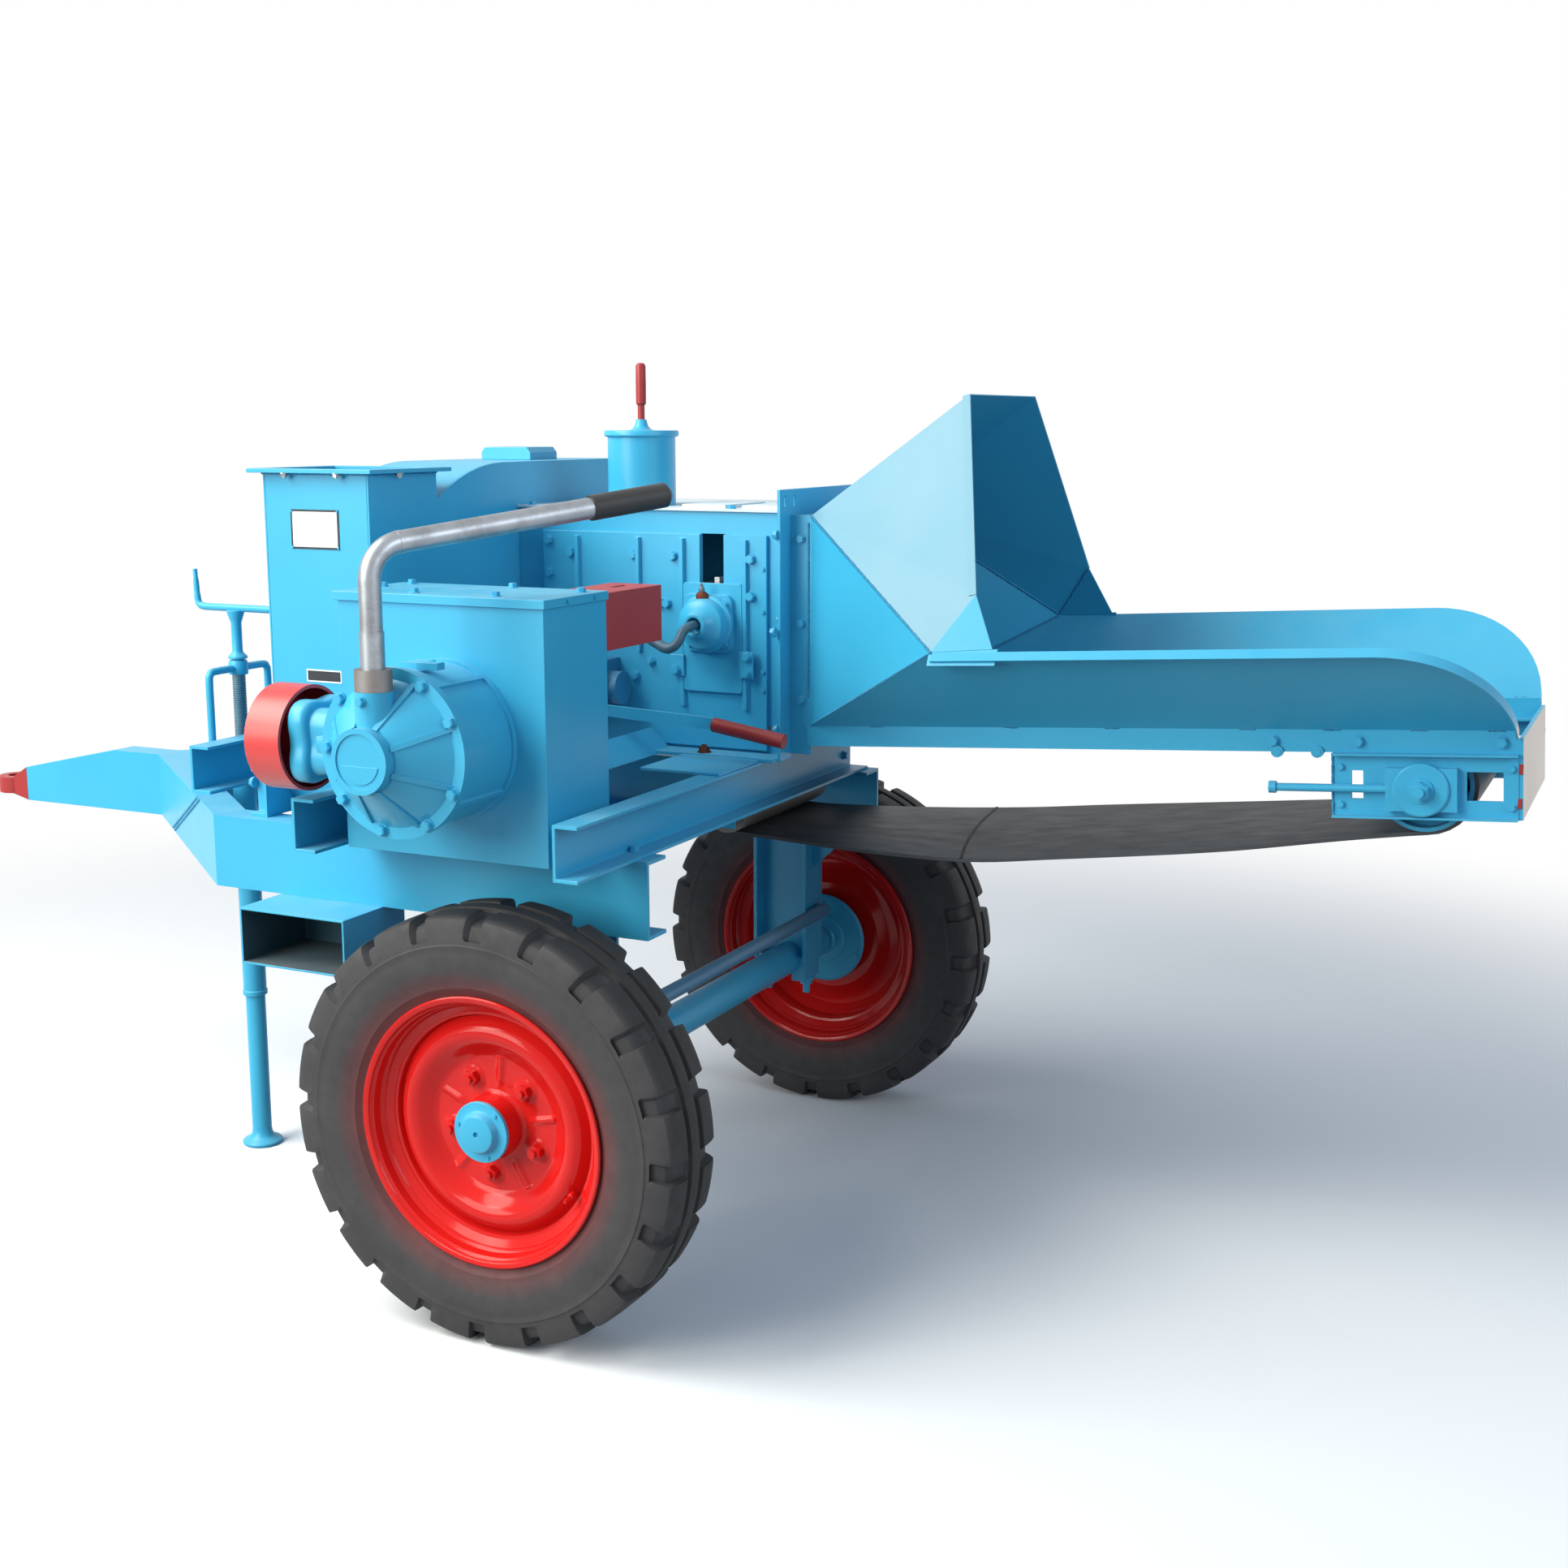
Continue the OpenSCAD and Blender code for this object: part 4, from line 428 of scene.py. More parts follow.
tyre = {"lugs": 20, "depth": 15, "lean": 0.05, "leanOver": 48, "crown": 436, "pinch": 0.5,
        "edge": [(58, 256.4, 0), (64, 258.2, 0), (69, 260.5, 0), (70.2, 268, 0), (70.8, 275.5, 0), (73.5, 281, 0),
                 (78.5, 287.5, 0), (81.5, 290.5, 0), (82.2, 293.5, 0), (83.2, 297.5, 0), (86, 305, 0), (89.6, 317, 0),
                 (92.4, 331, 0), (94.2, 346, 0), (94.6, 360, 0), (93.9, 371, 0), (94.9, 373.6, 0), (94.9, 376.4, 0),
                 (93.2, 378.6, 0), (92.8, 386.5, 0), (92.6, 389.5, 0.55), (92.2, 393, 0.95), (91.2, 405, 1),
                 (88.8, 417, 1), (85.2, 426.5, 1), (79.5, 431, 1), (69, 433.4, 1), (58, 434.7, 1), (50, 435.2, 1),
                 (44, 435.6, 0.9), (38, 435.8, 0.8), (34, 436, 0.7), (31.6, 435.4, 0.64), (29.8, 427.4, 0.1),
                 (28.2, 425.8, 0), (18.4, 425.8, 0), (16.8, 427.4, 0), (15, 435.4, 0), (13, 436, 0), (0, 436, 0)],
        "steps": [(0, 1), (0.03, 0.55), (0.055, 0.08), (0.08, 0), (0.2, 0), (0.33, 0), (0.46, 0), (0.59, 0), (0.72, 0),
                  (0.755, 0.03), (0.765, 0.5), (0.78, 1), (0.85, 1), (0.93, 1)]}


def makeTyre(name, side, body, node):
    half = tyre["edge"]
    section = half + [(-u, r, s) for u, r, s in reversed(half[:-1])]
    rings = []
    for lug in range(tyre["lugs"]):
        for part, sunk in tyre["steps"]:
            ring = []
            for u, r, share in section:
                # block sides open towards the sidewall
                lean = tyre["lean"] * share * (tyre["crown"] - r) / tyre["leanOver"]
                turn = 2 * math.pi * (lug + part + lean) / tyre["lugs"]
                radius = r - share * sunk * tyre["depth"]
                across = u - math.copysign(share * sunk * tyre["depth"] * tyre["pinch"], u)
                ring.append((radius * math.cos(turn), side * wheelAt["halfTrack"] + across,
                             wheelAt["height"] + radius * math.sin(turn)))
            rings.append(ring)
    points, faces = sweepRings(rings)
    piece = crease(addPiece(name, points, faces, [tyreRubber], body), 30)
    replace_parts(piece, node)


for side, word in sides:
    makeTyre(word + "TyreCasing", side, word + "_wheel", word + "_tyre")
print("tyres moulded")


# wheels: rolled rim with stepped inner rings, pressed disc with ribs and stud pads, hub barrel

wheel = {"studs": 5, "studTurn": 48, "studRadius": 102, "padHeight": 3.2, "padRadius": 21, "padEdge": 5,
         "ribHeight": 5.0, "ribWidth": 7.5, "ribFrom": 74, "ribFade": 16, "pressedFrom": 60, "pressedTo": 140,
         "frontFrom": 10,
         "barrelOut": [(273, 78), (273, 73.5), (270, 71.6), (258.6, 70), (254, 48), (231, 32)],
         "barrelIn": [(222, 22), (225, 28.5), (242, 34), (247.5, 49.5), (251, 52), (254.5, 67.5), (258, 70), (261, 77),
                      (266, 79.4), (270.5, 80)],
         "discFront": [(58, 13), (64, 12.4), (78, 12), (100, 12), (122, 12), (134, 12.2), (139, 13.5), (147, 18.5),
                       (158, 28), (170, 37.5), (182, 42.4), (194, 42.2), (205, 36), (213, 27), (220, 19), (229, 15)],
         "discBack": [(229, 4), (212, 14), (198, 33), (184, 33.2), (166, 22), (142, 3), (100, 3), (58, 3)],
         "hub": [(25.2, 61.5), (57, 61.5), (59.5, 59), (60, 20), (63, 15.5), (70, 13), (70, 8), (60, 3), (60, -20),
                 (25.2, -20)]}


def pressedDisc(r, turn, h):
    if h < wheel["frontFrom"] or not wheel["pressedFrom"] <= r <= wheel["pressedTo"]:
        return 0.0
    pitch = 360 / wheel["studs"]
    angle = (math.degrees(turn) - wheel["studTurn"]) % pitch
    off = min(angle, pitch - angle)
    across = 2 * r * math.sin(math.radians(off) / 2)
    away = math.hypot(across, r - wheel["studRadius"])
    pad = wheel["padHeight"] * min(max((wheel["padRadius"] + wheel["padEdge"] - away) / wheel["padEdge"], 0), 1)
    middle = math.radians(abs(angle - pitch / 2)) * r
    rib = math.exp(-(middle / wheel["ribWidth"]) ** 2) * min(max((r - wheel["ribFrom"]) / wheel["ribFade"], 0), 1)
    return max(pad, wheel["ribHeight"] * rib)


def hubPlace(side):
    return 0, side * wheelAt["halfTrack"], wheelAt["height"]


def makeWheel(name, side, body, node):
    outer, inner = wheel["barrelOut"], wheel["barrelIn"]
    barrel = outer + [(r, -h) for r, h in reversed(inner + outer)] + inner
    disc = smoothThrough(wheel["discFront"], 3) + wheel["discBack"]
    turned = ((barrel, 96, None), (disc, 240, pressedDisc), (wheel["hub"], 64, None))
    points, faces = joinShells([spinProfile(profile, hubPlace(side), (0, side, 0), segments, True, lift)
                                for profile, segments, lift in turned])
    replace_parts(crease(addPiece(name, points, faces, [redEnamel], body), 38), node)


for side, word in sides:
    makeWheel(word + "WheelDisc", side, word + "_wheel", word + "_rim")
print("wheels pressed")


# feed belt: one loop around three rollers, its slack lower run lower on the near edge

belt = {"wheels": [((185, 1102), 40), ((1589.8, 1090.8), 92), ((70, 910), 50)], "thickness": 8, "near": 80, "far": 480,
        "rows": 10, "runSteps": 12, "slackSteps": 48, "turnSteps": 14,
        "ridge": [(-4, -1), (-3, 1.4), (3, 1.4), (4, -1)],
        "slackAt": [70, 160, 395, 645, 846, 1191, 1450, 1590], "slack": [0, 9, 29, 40, 34, 22, 7, 0],
        "tilt": [0, 1, 12, 21, 20, 14, 4, 0], "splice": [(632, 80), (604, 191), (580, 341), (574, 480)]}


def between(x, xs, values):  # a smooth curve through the values at xs
    x = min(max(x, xs[0]), xs[-1])
    i = next(k for k in range(len(xs) - 1) if x <= xs[k + 1])
    before, after = max(i - 1, 0), min(i + 2, len(xs) - 1)
    span = xs[i + 1] - xs[i]
    t = (x - xs[i]) / span
    m0 = (values[i + 1] - values[before]) / (xs[i + 1] - xs[before])
    m1 = (values[after] - values[i]) / (xs[after] - xs[i])
    return ((2 * t ** 3 - 3 * t * t + 1) * values[i] + (t ** 3 - 2 * t * t + t) * span * m0
            + (3 * t * t - 2 * t ** 3) * values[i + 1] + (t ** 3 - t * t) * span * m1)


def beltLoop():  # (x, z, outward x, outward z, 1 on the lower run) along the middle of the belt
    wheels, loop, ends = belt["wheels"], [], []
    for i in range(3):
        (c0, r0), (c1, r1) = wheels[i], wheels[(i + 1) % 3]
        r0, r1 = r0 + belt["thickness"] / 2, r1 + belt["thickness"] / 2
        heading = math.atan2(c1[1] - c0[1], c1[0] - c0[0])
        turn = heading + math.acos((r0 - r1) / math.dist(c0, c1))
        ends.append((turn, (c0[0] + r0 * math.cos(turn), c0[1] + r0 * math.sin(turn)),
                     (c1[0] + r1 * math.cos(turn), c1[1] + r1 * math.sin(turn))))
    for i in range(3):
        turn, start, finish = ends[i]
        steps = belt["slackSteps" if i == 1 else "runSteps"]
        for k in range(steps):
            t = k / steps
            loop.append((start[0] + (finish[0] - start[0]) * t, start[1] + (finish[1] - start[1]) * t,
                         math.cos(turn), math.sin(turn), int(i == 1)))
        (c, r), nextTurn = wheels[(i + 1) % 3], ends[(i + 1) % 3][0]
        r += belt["thickness"] / 2
        sweep = (turn - nextTurn) % (2 * math.pi)
        for k in range(belt["turnSteps"]):
            a = turn - sweep * k / belt["turnSteps"]
            loop.append((c[0] + r * math.cos(a), c[1] + r * math.sin(a), math.cos(a), math.sin(a), 0))
    return loop


def beltDrop(x, y):
    lean = (belt["near"] + belt["far"] - 2 * y) / (belt["far"] - belt["near"])
    return between(x, belt["slackAt"], belt["slack"]) + lean * between(x, belt["slackAt"], belt["tilt"])


def makeBelt():
    half = belt["thickness"] / 2
    across = [belt["near"] + (belt["far"] - belt["near"]) * k / belt["rows"] for k in range(belt["rows"] + 1)]
    rings = []
    for x, z, outX, outZ, low in beltLoop():
        ring = []
        for side in (1, -1):
            for y in across[::side]:
                ring.append((x + outX * half * side, y, z + outZ * half * side - (beltDrop(x, y) if low else 0)))
        rings.append(ring)
    points, faces = sweepRings(rings)
    band = addPiece("rubberFeedBelt", points, faces, [beltRubber], "trailer")
    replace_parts(crease(band, 40), "feed_belt")
    lowRun = [p for p in beltLoop() if p[4]]
    ridge = []
    for x, y in smoothThrough(belt["splice"], 6):
        z = between(x, [p[0] for p in reversed(lowRun)], [p[1] for p in reversed(lowRun)]) - beltDrop(x, y) + half
        ridge.append([(x + across, y, z + rise) for across, rise in belt["ridge"]])
    points, faces = sweepRings(ridge, looped=False)
    addPiece("beltSpliceEdge", points, faces, [spliceRubber], "trailer", smooth=False)


makeBelt()
print("belt laid")


# turned small parts, each a profile spun around its own axis

turnedParts = [
    *[{"name": word + "TakeUpDisc", "place": (1589.8, feedMiddle + side * 264, 1090.8), "axis": (0, side, 0),
       "segments": 64, "profile": [(0, 7), (49, 7), (52, 5), (52, -1), (0, -1)]} for side, word in sides],
    {"name": "hubGreaseCup", "body": "roller_slide", "finish": rustySteel, "slot": "bare_steel",
     "place": (46, -8, 1401), "axis": (0, -0.1, 1), "segments": 24,
     "profile": [(0, 15), (7, 15), (12.5, 11), (14, 6), (13.5, -3), (0, -3)]},
    {"name": "hubGreaseNipple", "body": "roller_slide", "finish": pipeSteel, "slot": "bare_steel",
     "place": (46, -9.5, 1415), "axis": (0, -0.1, 1), "segments": 20,
     "profile": [(0, 20), (2.5, 20), (3.6, 17), (3, 14), (5.5, 10), (6.5, 5), (6.5, -2), (0, -2)]},
    *[{"name": word + "ValveStem", "body": word + "_wheel", "finish": redEnamel, "slot": "red_paint",
       "place": (186, side * 824, 330), "axis": (0.12, side, -0.05), "segments": 16,
       "profile": [(0, 30), (3.4, 30), (4, 28), (4, 20), (3, 19), (3, 8), (6, 6), (6, -8), (0, -8)]}
      for side, word in sides],
    *[{"name": word + "HubSealRing", "place": (0, side * 744, wheelAt["height"]), "axis": (0, -side, 0), "segments": 56,
       "ring": True, "profile": [(41, -1), (41, 9), (60, 9), (66, 6), (66, -1)]} for side, word in sides],
]
for part in turnedParts:
    points, faces = spinProfile(part["profile"], part["place"], part["axis"], part["segments"], part.get("ring", False))
    finish, body, slotName = part.get("finish", skyEnamel), part.get("body", "trailer"), part.get("slot", "blue_paint")
    crease(addPiece(part["name"], points, faces, [finish], body), 30)
print("turned parts:", len(turnedParts))


# shells: the parts of one piece, each a list of points and faces

def slabShell(outline, y0, y1):  # an outline in x and z, given a thickness along y
    return sweepRings([[(x, y, z) for x, z in outline] for y in (y0, y1)], looped=False)


def boxShell(low, high):
    (x0, y0, z0), (x1, y1, z1) = low, high
    return slabShell([(x0, z0), (x1, z0), (x1, z1), (x0, z1)], y0, y1)


def roundedOutline(x0, x1, z0, z1, radius, steps=6):
    outline = []
    for cx, cz, start in ((x1 - radius, z1 - radius, 0), (x0 + radius, z1 - radius, 90),
                          (x0 + radius, z0 + radius, 180), (x1 - radius, z0 + radius, 270)):
        for k in range(steps + 1):
            a = math.radians(start + 90 * k / steps)
            outline.append((cx + radius * math.cos(a), cz + radius * math.sin(a)))
    return outline


def tubeShell(path, radii, corners=14):  # a round bar along a path, closed at both ends
    rings, side = [], None
    for i, place in enumerate(path):
        ahead = (Vector(path[min(i + 1, len(path) - 1)]) - Vector(path[max(i - 1, 0)])).normalized()
        side = ahead.orthogonal() if side is None else side - ahead * side.dot(ahead)
        side.normalize()
        across = ahead.cross(side)
        r = radii[min(i * len(radii) // len(path), len(radii) - 1)]
        turns = [2 * math.pi * k / corners for k in range(corners)]
        rings.append([tuple(Vector(place) + (side * math.cos(a) + across * math.sin(a)) * r) for a in turns])
    return sweepRings(rings, looped=False)


def acrossFeed(shell):  # the same shell on the far side of the feed
    return [(x, 2 * feedMiddle - y, z) for x, y, z in shell[0]], shell[1]


def addShells(name, shells, node=None, finish=skyEnamel, body="trailer", easedMm=1.2,
              second=None):
    extra, extraFinish = second or ([], finish)  # shells in a second finish
    points, faces = joinShells(shells + extra)
    plain = sum(len(shell[1]) for shell in shells)
    chosen = [0] * plain + [1] * (len(faces) - plain)
    finishes = [finish, extraFinish] if extra else [finish]
    piece = easeEdges(addPiece(name, points, faces, finishes, body, faceMaterials=chosen), easedMm)
    if node:
        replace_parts(piece, node)


# sliding roller bearings: plate, flange and stepped hub on both sides, and the bent pipe on the near one

bearing = {"place": (50, 19.7, 1345), "plate": (-17.4, 129.4, 1189, 1433, 8), "plateY": (19.7, 29.7),
           "flange": (-9, 109, 1281, 1409, 17), "flangeY": (7.7, 20.7),
           "hub": [(0, 10), (65, 10), (65, 21), (62, 25), (57.5, 26.5), (56.5, 42), (53, 49), (47, 52), (31, 64),
                   (27, 75), (24.5, 78), (18, 78), (17.5, 62), (0, 62)],
           "pipe": [(50, -44, 1345), (50, -62, 1346), (46, -76, 1343), (39, -88, 1333), (35, -97, 1316),
                    (24, -103, 1302), (6, -102, 1298), (-16, -96, 1305), (-40, -90, 1316), (-62, -84, 1322)]}


def makeBearings():
    near = [slabShell(roundedOutline(*bearing[part]), *bearing[part + "Y"]) for part in ("plate", "flange")]
    near.append(spinProfile(bearing["hub"], bearing["place"], front, 64, False))
    pipe = tubeShell(smoothThrough(bearing["pipe"], 5), [10, 10.5, 11, 12, 13], 18)
    addShells("rollerBearings", near + [acrossFeed(shell) for shell in near], "bearing_plates", body="roller_slide",
              second=([pipe], pipeEnamel))


makeBearings()


# spring pot with its flared cap, and the shift lever's rod and grip

pot = {"place": (-193, 150, 0),
       "body": [(0, 1596), (78, 1596), (78, 1751), (84, 1752.5), (86, 1755), (86, 1763), (84, 1766), (30, 1766),
                (22, 1769), (16, 1776), (13, 1785), (12, 1791), (9.5, 1791), (9.5, 1784), (0, 1784)],
       "rod": [(0, 1762), (8, 1764), (8, 1822), (9.5, 1824), (11.6, 1827), (11.8, 1870), (11.4, 1911), (9, 1916),
               (5, 1918), (0, 1918)]}
addShells("springPot", [spinProfile(pot["body"], pot["place"], up, 72, False)], "spring_pot", easedMm=0.8)
addShells("shiftLeverGrip", [spinProfile(pot["rod"], pot["place"], up, 28, False)], "shift_lever", handleEnamel,
          "shift_lever", 0.6)


# bearing carrier: a wavy casting between the pulley and the bevel housing

carrier = {"y": -808, "z": 1175, "mean": 88, "wave": 11, "lobes": 4, "bore": 20.6, "spokes": 96,
           "stations": [(-396, 0.92), (-393, 0.98), (-389, 1.0), (-364, 1.0), (-358, 0.97), (-354, 0.9), (-352, 0.82),
                        (-300, 0.77)]}


def makeCarrier():
    rings, ends = [], [carrier["stations"][0][0], carrier["stations"][-1][0]]
    for k in range(carrier["spokes"]):
        a = 2 * math.pi * k / carrier["spokes"]
        r = carrier["mean"] + carrier["wave"] * math.cos(carrier["lobes"] * (a - math.pi / 4))
        edge = [(x, r * share) for x, share in carrier["stations"]]
        ring = [(ends[0], carrier["bore"])] + edge + [(ends[1], carrier["bore"])]
        rings.append([(x, carrier["y"] - reach * math.cos(a), carrier["z"] + reach * math.sin(a)) for x, reach in ring])
    addShells("waveCarrier", [sweepRings(rings)], "bearing_carrier")


makeCarrier()


# jack: round sleeve with a bent yoke, leg with its dished foot, screw with the crank

jack = {"x": -1125.3, "y": -185, "sleeve": [(24.4, 389), (30, 389), (30, 399), (28, 401), (28, 1000), (24.4, 1000)],
        "leg": [(0, 0), (46, 0), (49, 3), (49, 8), (45, 11.5), (33, 17), (26, 26), (23.8, 38), (23.8, 860), (0, 860)],
        "collar": [(14.8, 1188), (22, 1188), (23, 1191), (23, 1216), (20, 1222), (14.8, 1222)],
        "screw": [(0, 660), (14, 660), (14, 1224.6), (23, 1226), (23, 1231), (14, 1240), (12.5, 1244), (12.5, 1312),
                  (16, 1322), (21, 1337), (21, 1342), (0, 1342)],
        "crank": [(112, 1347), (60, 1347), (0, 1347), (-70, 1347), (-98, 1348), (-110, 1353), (-115, 1366),
                  (-117, 1395), (-119, 1437)],
        "yoke": [(103, 992), (103, 1100), (103, 1180), (99, 1196), (85, 1203)], "yokeTop": 1203,
        "padPlate": ((-1096, -112, 942), (-1090, 112, 1046)), "padEnd": -1094, "padZ": (988, 1028), "padY": (94, 114)}


def makeJack():
    place, x, y = (jack["x"], jack["y"], 0), jack["x"], jack["y"]
    yoke = [(x, y - across, z) for across, z in jack["yoke"]] + [(x, y, jack["yokeTop"])]
    yoke += [(x, y + across, z) for across, z in reversed(jack["yoke"])]
    (x0, y0, z0), (x1, y1, z1) = jack["padPlate"]
    (inner, outer), (low, high) = jack["padY"], jack["padZ"]
    shells = [spinProfile(jack["sleeve"], place, up, 48, True), spinProfile(jack["collar"], place, up, 40, True),
              tubeShell(smoothThrough(yoke, 4), [9], 16), boxShell((x0, y + y0, z0), (x1, y + y1, z1))]
    for a, b in ((-outer, -inner), (inner, outer)):
        shells.append(boxShell((x - 4, y + a, low), (jack["padEnd"], y + b, high)))
    addShells("jackSleeve", shells, "jack_sleeve")
    addShells("jackLeg", [spinProfile(jack["leg"], place, up, 48, False)], "jack_leg", body="jack_leg")
    crank = smoothThrough([(x + dx, y, z) for dx, z in jack["crank"]], 4)
    shells = [spinProfile(jack["screw"], place, up, 28, False), tubeShell(crank, [9, 9, 9, 9, 9, 8.5, 8, 7, 5.5], 14)]
    addShells("jackCrank", shells, "jack_crank", body="jack_crank")


makeJack()


# brake shaft between its two brackets on the axle posts

brake = {"x": 85, "z": 563, "radius": 17, "end": 570,
         "bracketX": (60, 92), "bracketY": (546, 562), "bracketZ": (545, 581)}
brakeShells = [tubeShell([(brake["x"], side * brake["end"], brake["z"]) for side in (-1, 1)], [brake["radius"]], 32)]
for side in (-1, 1):
    (x0, x1), (y0, y1), (z0, z1) = brake["bracketX"], sorted(side * y for y in brake["bracketY"]), brake["bracketZ"]
    brakeShells.append(boxShell((x0, y0, z0), (x1, y1, z1)))
addShells("brakeCrossShaft", brakeShells, "brake_shaft", shaftEnamel)


# plain brake back plates, each with a turned boss around the axle's end

backplate = {"y": 748, "profile": [(32, -4), (32, 22), (38, 22), (42, 18), (42, 4), (44, 3), (108, 3), (114, 1),
                                   (118, -2), (118, -4)]}
backplates = [spinProfile(backplate["profile"], (0, side * backplate["y"], wheelAt["height"]), (0, -side, 0), 72, True)
              for side in (-1, 1)]
addShells("brakeBackplates", backplates, "brake_backplates", easedMm=0.6)


# axle posts: joists with a gusset, a clamp half on each side of the axle, and its stud

post = {"front": -80, "rear": 66, "inner": 495.5, "outer": 595.5, "low": 437, "top": 778, "sheet": 10,
        "gusset": [(66, 677), (133, 738), (133, 778), (66, 778)], "clampLow": 386, "clampTop": 448, "clampWide": 36,
        "studs": (-60, 46), "studLow": 346, "studRadius": 9}
postShells = []
for side in (-1, 1):
    inner, outer = sorted((side * post["inner"], side * post["outer"]))
    middle, half = (inner + outer) / 2, post["sheet"] / 2
    web = post["front"] + half, post["rear"] - half
    for x in (post["front"], post["rear"] - post["sheet"]):
        postShells.append(boxShell((x, inner, post["low"]), (x + post["sheet"], outer, post["top"])))
    for x in (web[0], web[1] - post["clampWide"]):
        postShells.append(boxShell((x, inner + half, post["clampLow"]),
                                   (x + post["clampWide"], outer - half, post["clampTop"])))
    postShells.append(boxShell((web[0], middle - half, post["low"]), (web[1], middle + half, post["top"])))
    postShells.append(slabShell(post["gusset"], middle - half, middle + half))
    for x in post["studs"]:
        stud = [(x, middle, z) for z in (post["studLow"], post["clampLow"] + 2)]
        postShells.append(tubeShell(stud, [post["studRadius"]], 16))
addShells("axlePosts", postShells, "axle_posts")


# hub caps: a flat flange and a drawn dome with a vent hole

capProfile = [(0, 62), (61, 62), (61, 69), (60, 70), (46, 70), (43, 71), (41, 74), (38.5, 82), (36, 85), (32, 86),
              (6, 86), (5, 80), (0, 80)]
for side, word in sides:
    dome = spinProfile(capProfile, hubPlace(side), (0, side, 0), 64, False)
    addShells(word + "HubCap", [dome], word + "_hub_cap", body=word + "_wheel", easedMm=0.4)


# raised half moon in the cover cap's recess, left plain

moon = {"middle": (-141, 0, 1175), "radius": 43, "y": (-997.8, -995.5), "angles": range(-168, -11, 6)}
moonEdge = [(x, z) for x, y, z in ringPlaces(moon["middle"], moon["radius"], moon["angles"], "xz")]
addShells("capHalfMoon", [slabShell(moonEdge, *moon["y"])], easedMm=0.5)


# at the hopper's mouth: a folded strip along its edge, and a filler between its flap and the table's lip

mouth = {"top": (640, 69, 1842), "low": (726, -110, 1443), "rear": (645, -149, 1326),
         "strip": [(-0.5, 0.2), (-0.5, 3.2), (17, 3.2), (17, 0.2)], "thick": 2,
         "filler": [(640, 707, 1327), (785, 702, 1339), (785, 721, 1308), (640, 721, 1300)]}


def mouthStrip():
    top, low = Vector(mouth["top"]), Vector(mouth["low"])
    along = (low - top).normalized()
    out = (Vector(mouth["rear"]) - top).cross(along).normalized()
    inward = along.cross(out).normalized()
    rings = [[tuple(end + inward * reach + out * rise) for reach, rise in mouth["strip"]] for end in (top, low)]
    return sweepRings(rings, looped=False)


fillerRings = [[(x, y + thick, z) for x, y, z in mouth["filler"]] for thick in (0, mouth["thick"])]
farFiller = sweepRings(fillerRings, looped=False)
nearStrip = mouthStrip()
addShells("nearMouthFiller", [acrossFeed(farFiller)], easedMm=0.4)
addShells("farMouthFiller", [farFiller], easedMm=0.4)
# the folded strips take the paler enamel as a painted highlight along the mouth's edge
addShells("nearMouthStrip", [nearStrip], finish=paintedSheenEnamel, easedMm=0.6)
addShells("farMouthStrip", [acrossFeed(nearStrip)], finish=paintedSheenEnamel, easedMm=0.6)
print("bearings, pot, carrier, jack, axle posts and mouth refined")


# flat bars, clips and plates: boxes with eased corners

flatParts = [
    {"name": "leftPlateClip", "low": (-49, 13, 1222), "high": (-14, 19.4, 1270)},
    {"name": "rightPlateClip", "low": (126, 13, 1224), "high": (160, 19.4, 1284)},
    {"name": "footPlateEnd", "low": (-72, -35, 1048), "high": (12, 38, 1056)},
    {"name": "basePlate", "low": (8, -228, 1048), "high": (200, -35.5, 1054)},
    {"name": "bellLiftLug", "low": (-112, -850, 1330), "high": (-66, -826, 1344)},
]
tab = {"y": (243.5, 246.6), "long": 8, "high": 20, "places": [("Upper", 1762, 1132), ("Lower", 1764, 1066)]}
for part in flatParts:
    addShells(part["name"], [boxShell(part["low"], part["high"])])
for side, word in sides:
    y0, y1 = sorted(feedMiddle + side * y for y in tab["y"])
    for level, x, z in tab["places"]:
        shell = boxShell((x, y0, z), (x + tab["long"], y1, z + tab["high"]))
        addShells(word + "Tab" + level, [shell], finish=handleEnamel)
print("flat parts:", len(flatParts) + len(sides) * len(tab["places"]))


# bare plates on the chute: a pale field with a dark edge line, left without words

barePlates = [
    {"name": "bareNameplate", "x": (-667, -541), "z": (1521, 1604), "y": -520, "edge": 4.5, "thick": 1.2,
     "field": labelWhite, "line": labelDark},
    {"name": "bareLabel", "x": (-643, -550), "z": (1238, 1265), "y": -520, "edge": 3.0, "thick": 0.8,
     "field": labelDark, "line": labelWhite},
]


def makeBarePlate(plate):  # rings for the back, the front and the field inside its edge line
    (x0, x1), (z0, z1), y, face = plate["x"], plate["z"], plate["y"], plate["y"] - plate["thick"]
    rings = [[(x0 + e, depth, z0 + e), (x1 - e, depth, z0 + e), (x1 - e, depth, z1 - e), (x0 + e, depth, z1 - e)]
             for depth, e in ((y, 0), (face, 0), (face, plate["edge"]))]
    points, faces = sweepRings(rings, looped=False)
    addPiece(plate["name"], points, faces, [plate["field"], plate["line"]], "trailer", smooth=False,
             faceMaterials=[1] * (len(faces) - 1) + [0])


for plate in barePlates:
    makeBarePlate(plate)
print("bare plates:", len(barePlates))


# fasteners by geometry nodes: one point for each, its axis, size and turn kept as attributes

fastenerKinds = {
    "hexBolt": {"sides": 6, "headHeight": 0.74, "shoulder": 0.84, "washerReach": 1.22, "threadHeight": 0.0},
    "hexNut": {"sides": 6, "headHeight": 0.8, "shoulder": 0.86, "washerReach": 1.3, "threadHeight": 0.45},
    "roundHead": {"sides": 16, "headHeight": 0.5, "shoulder": 0.62, "washerReach": 1.02, "threadHeight": 0.0},
}


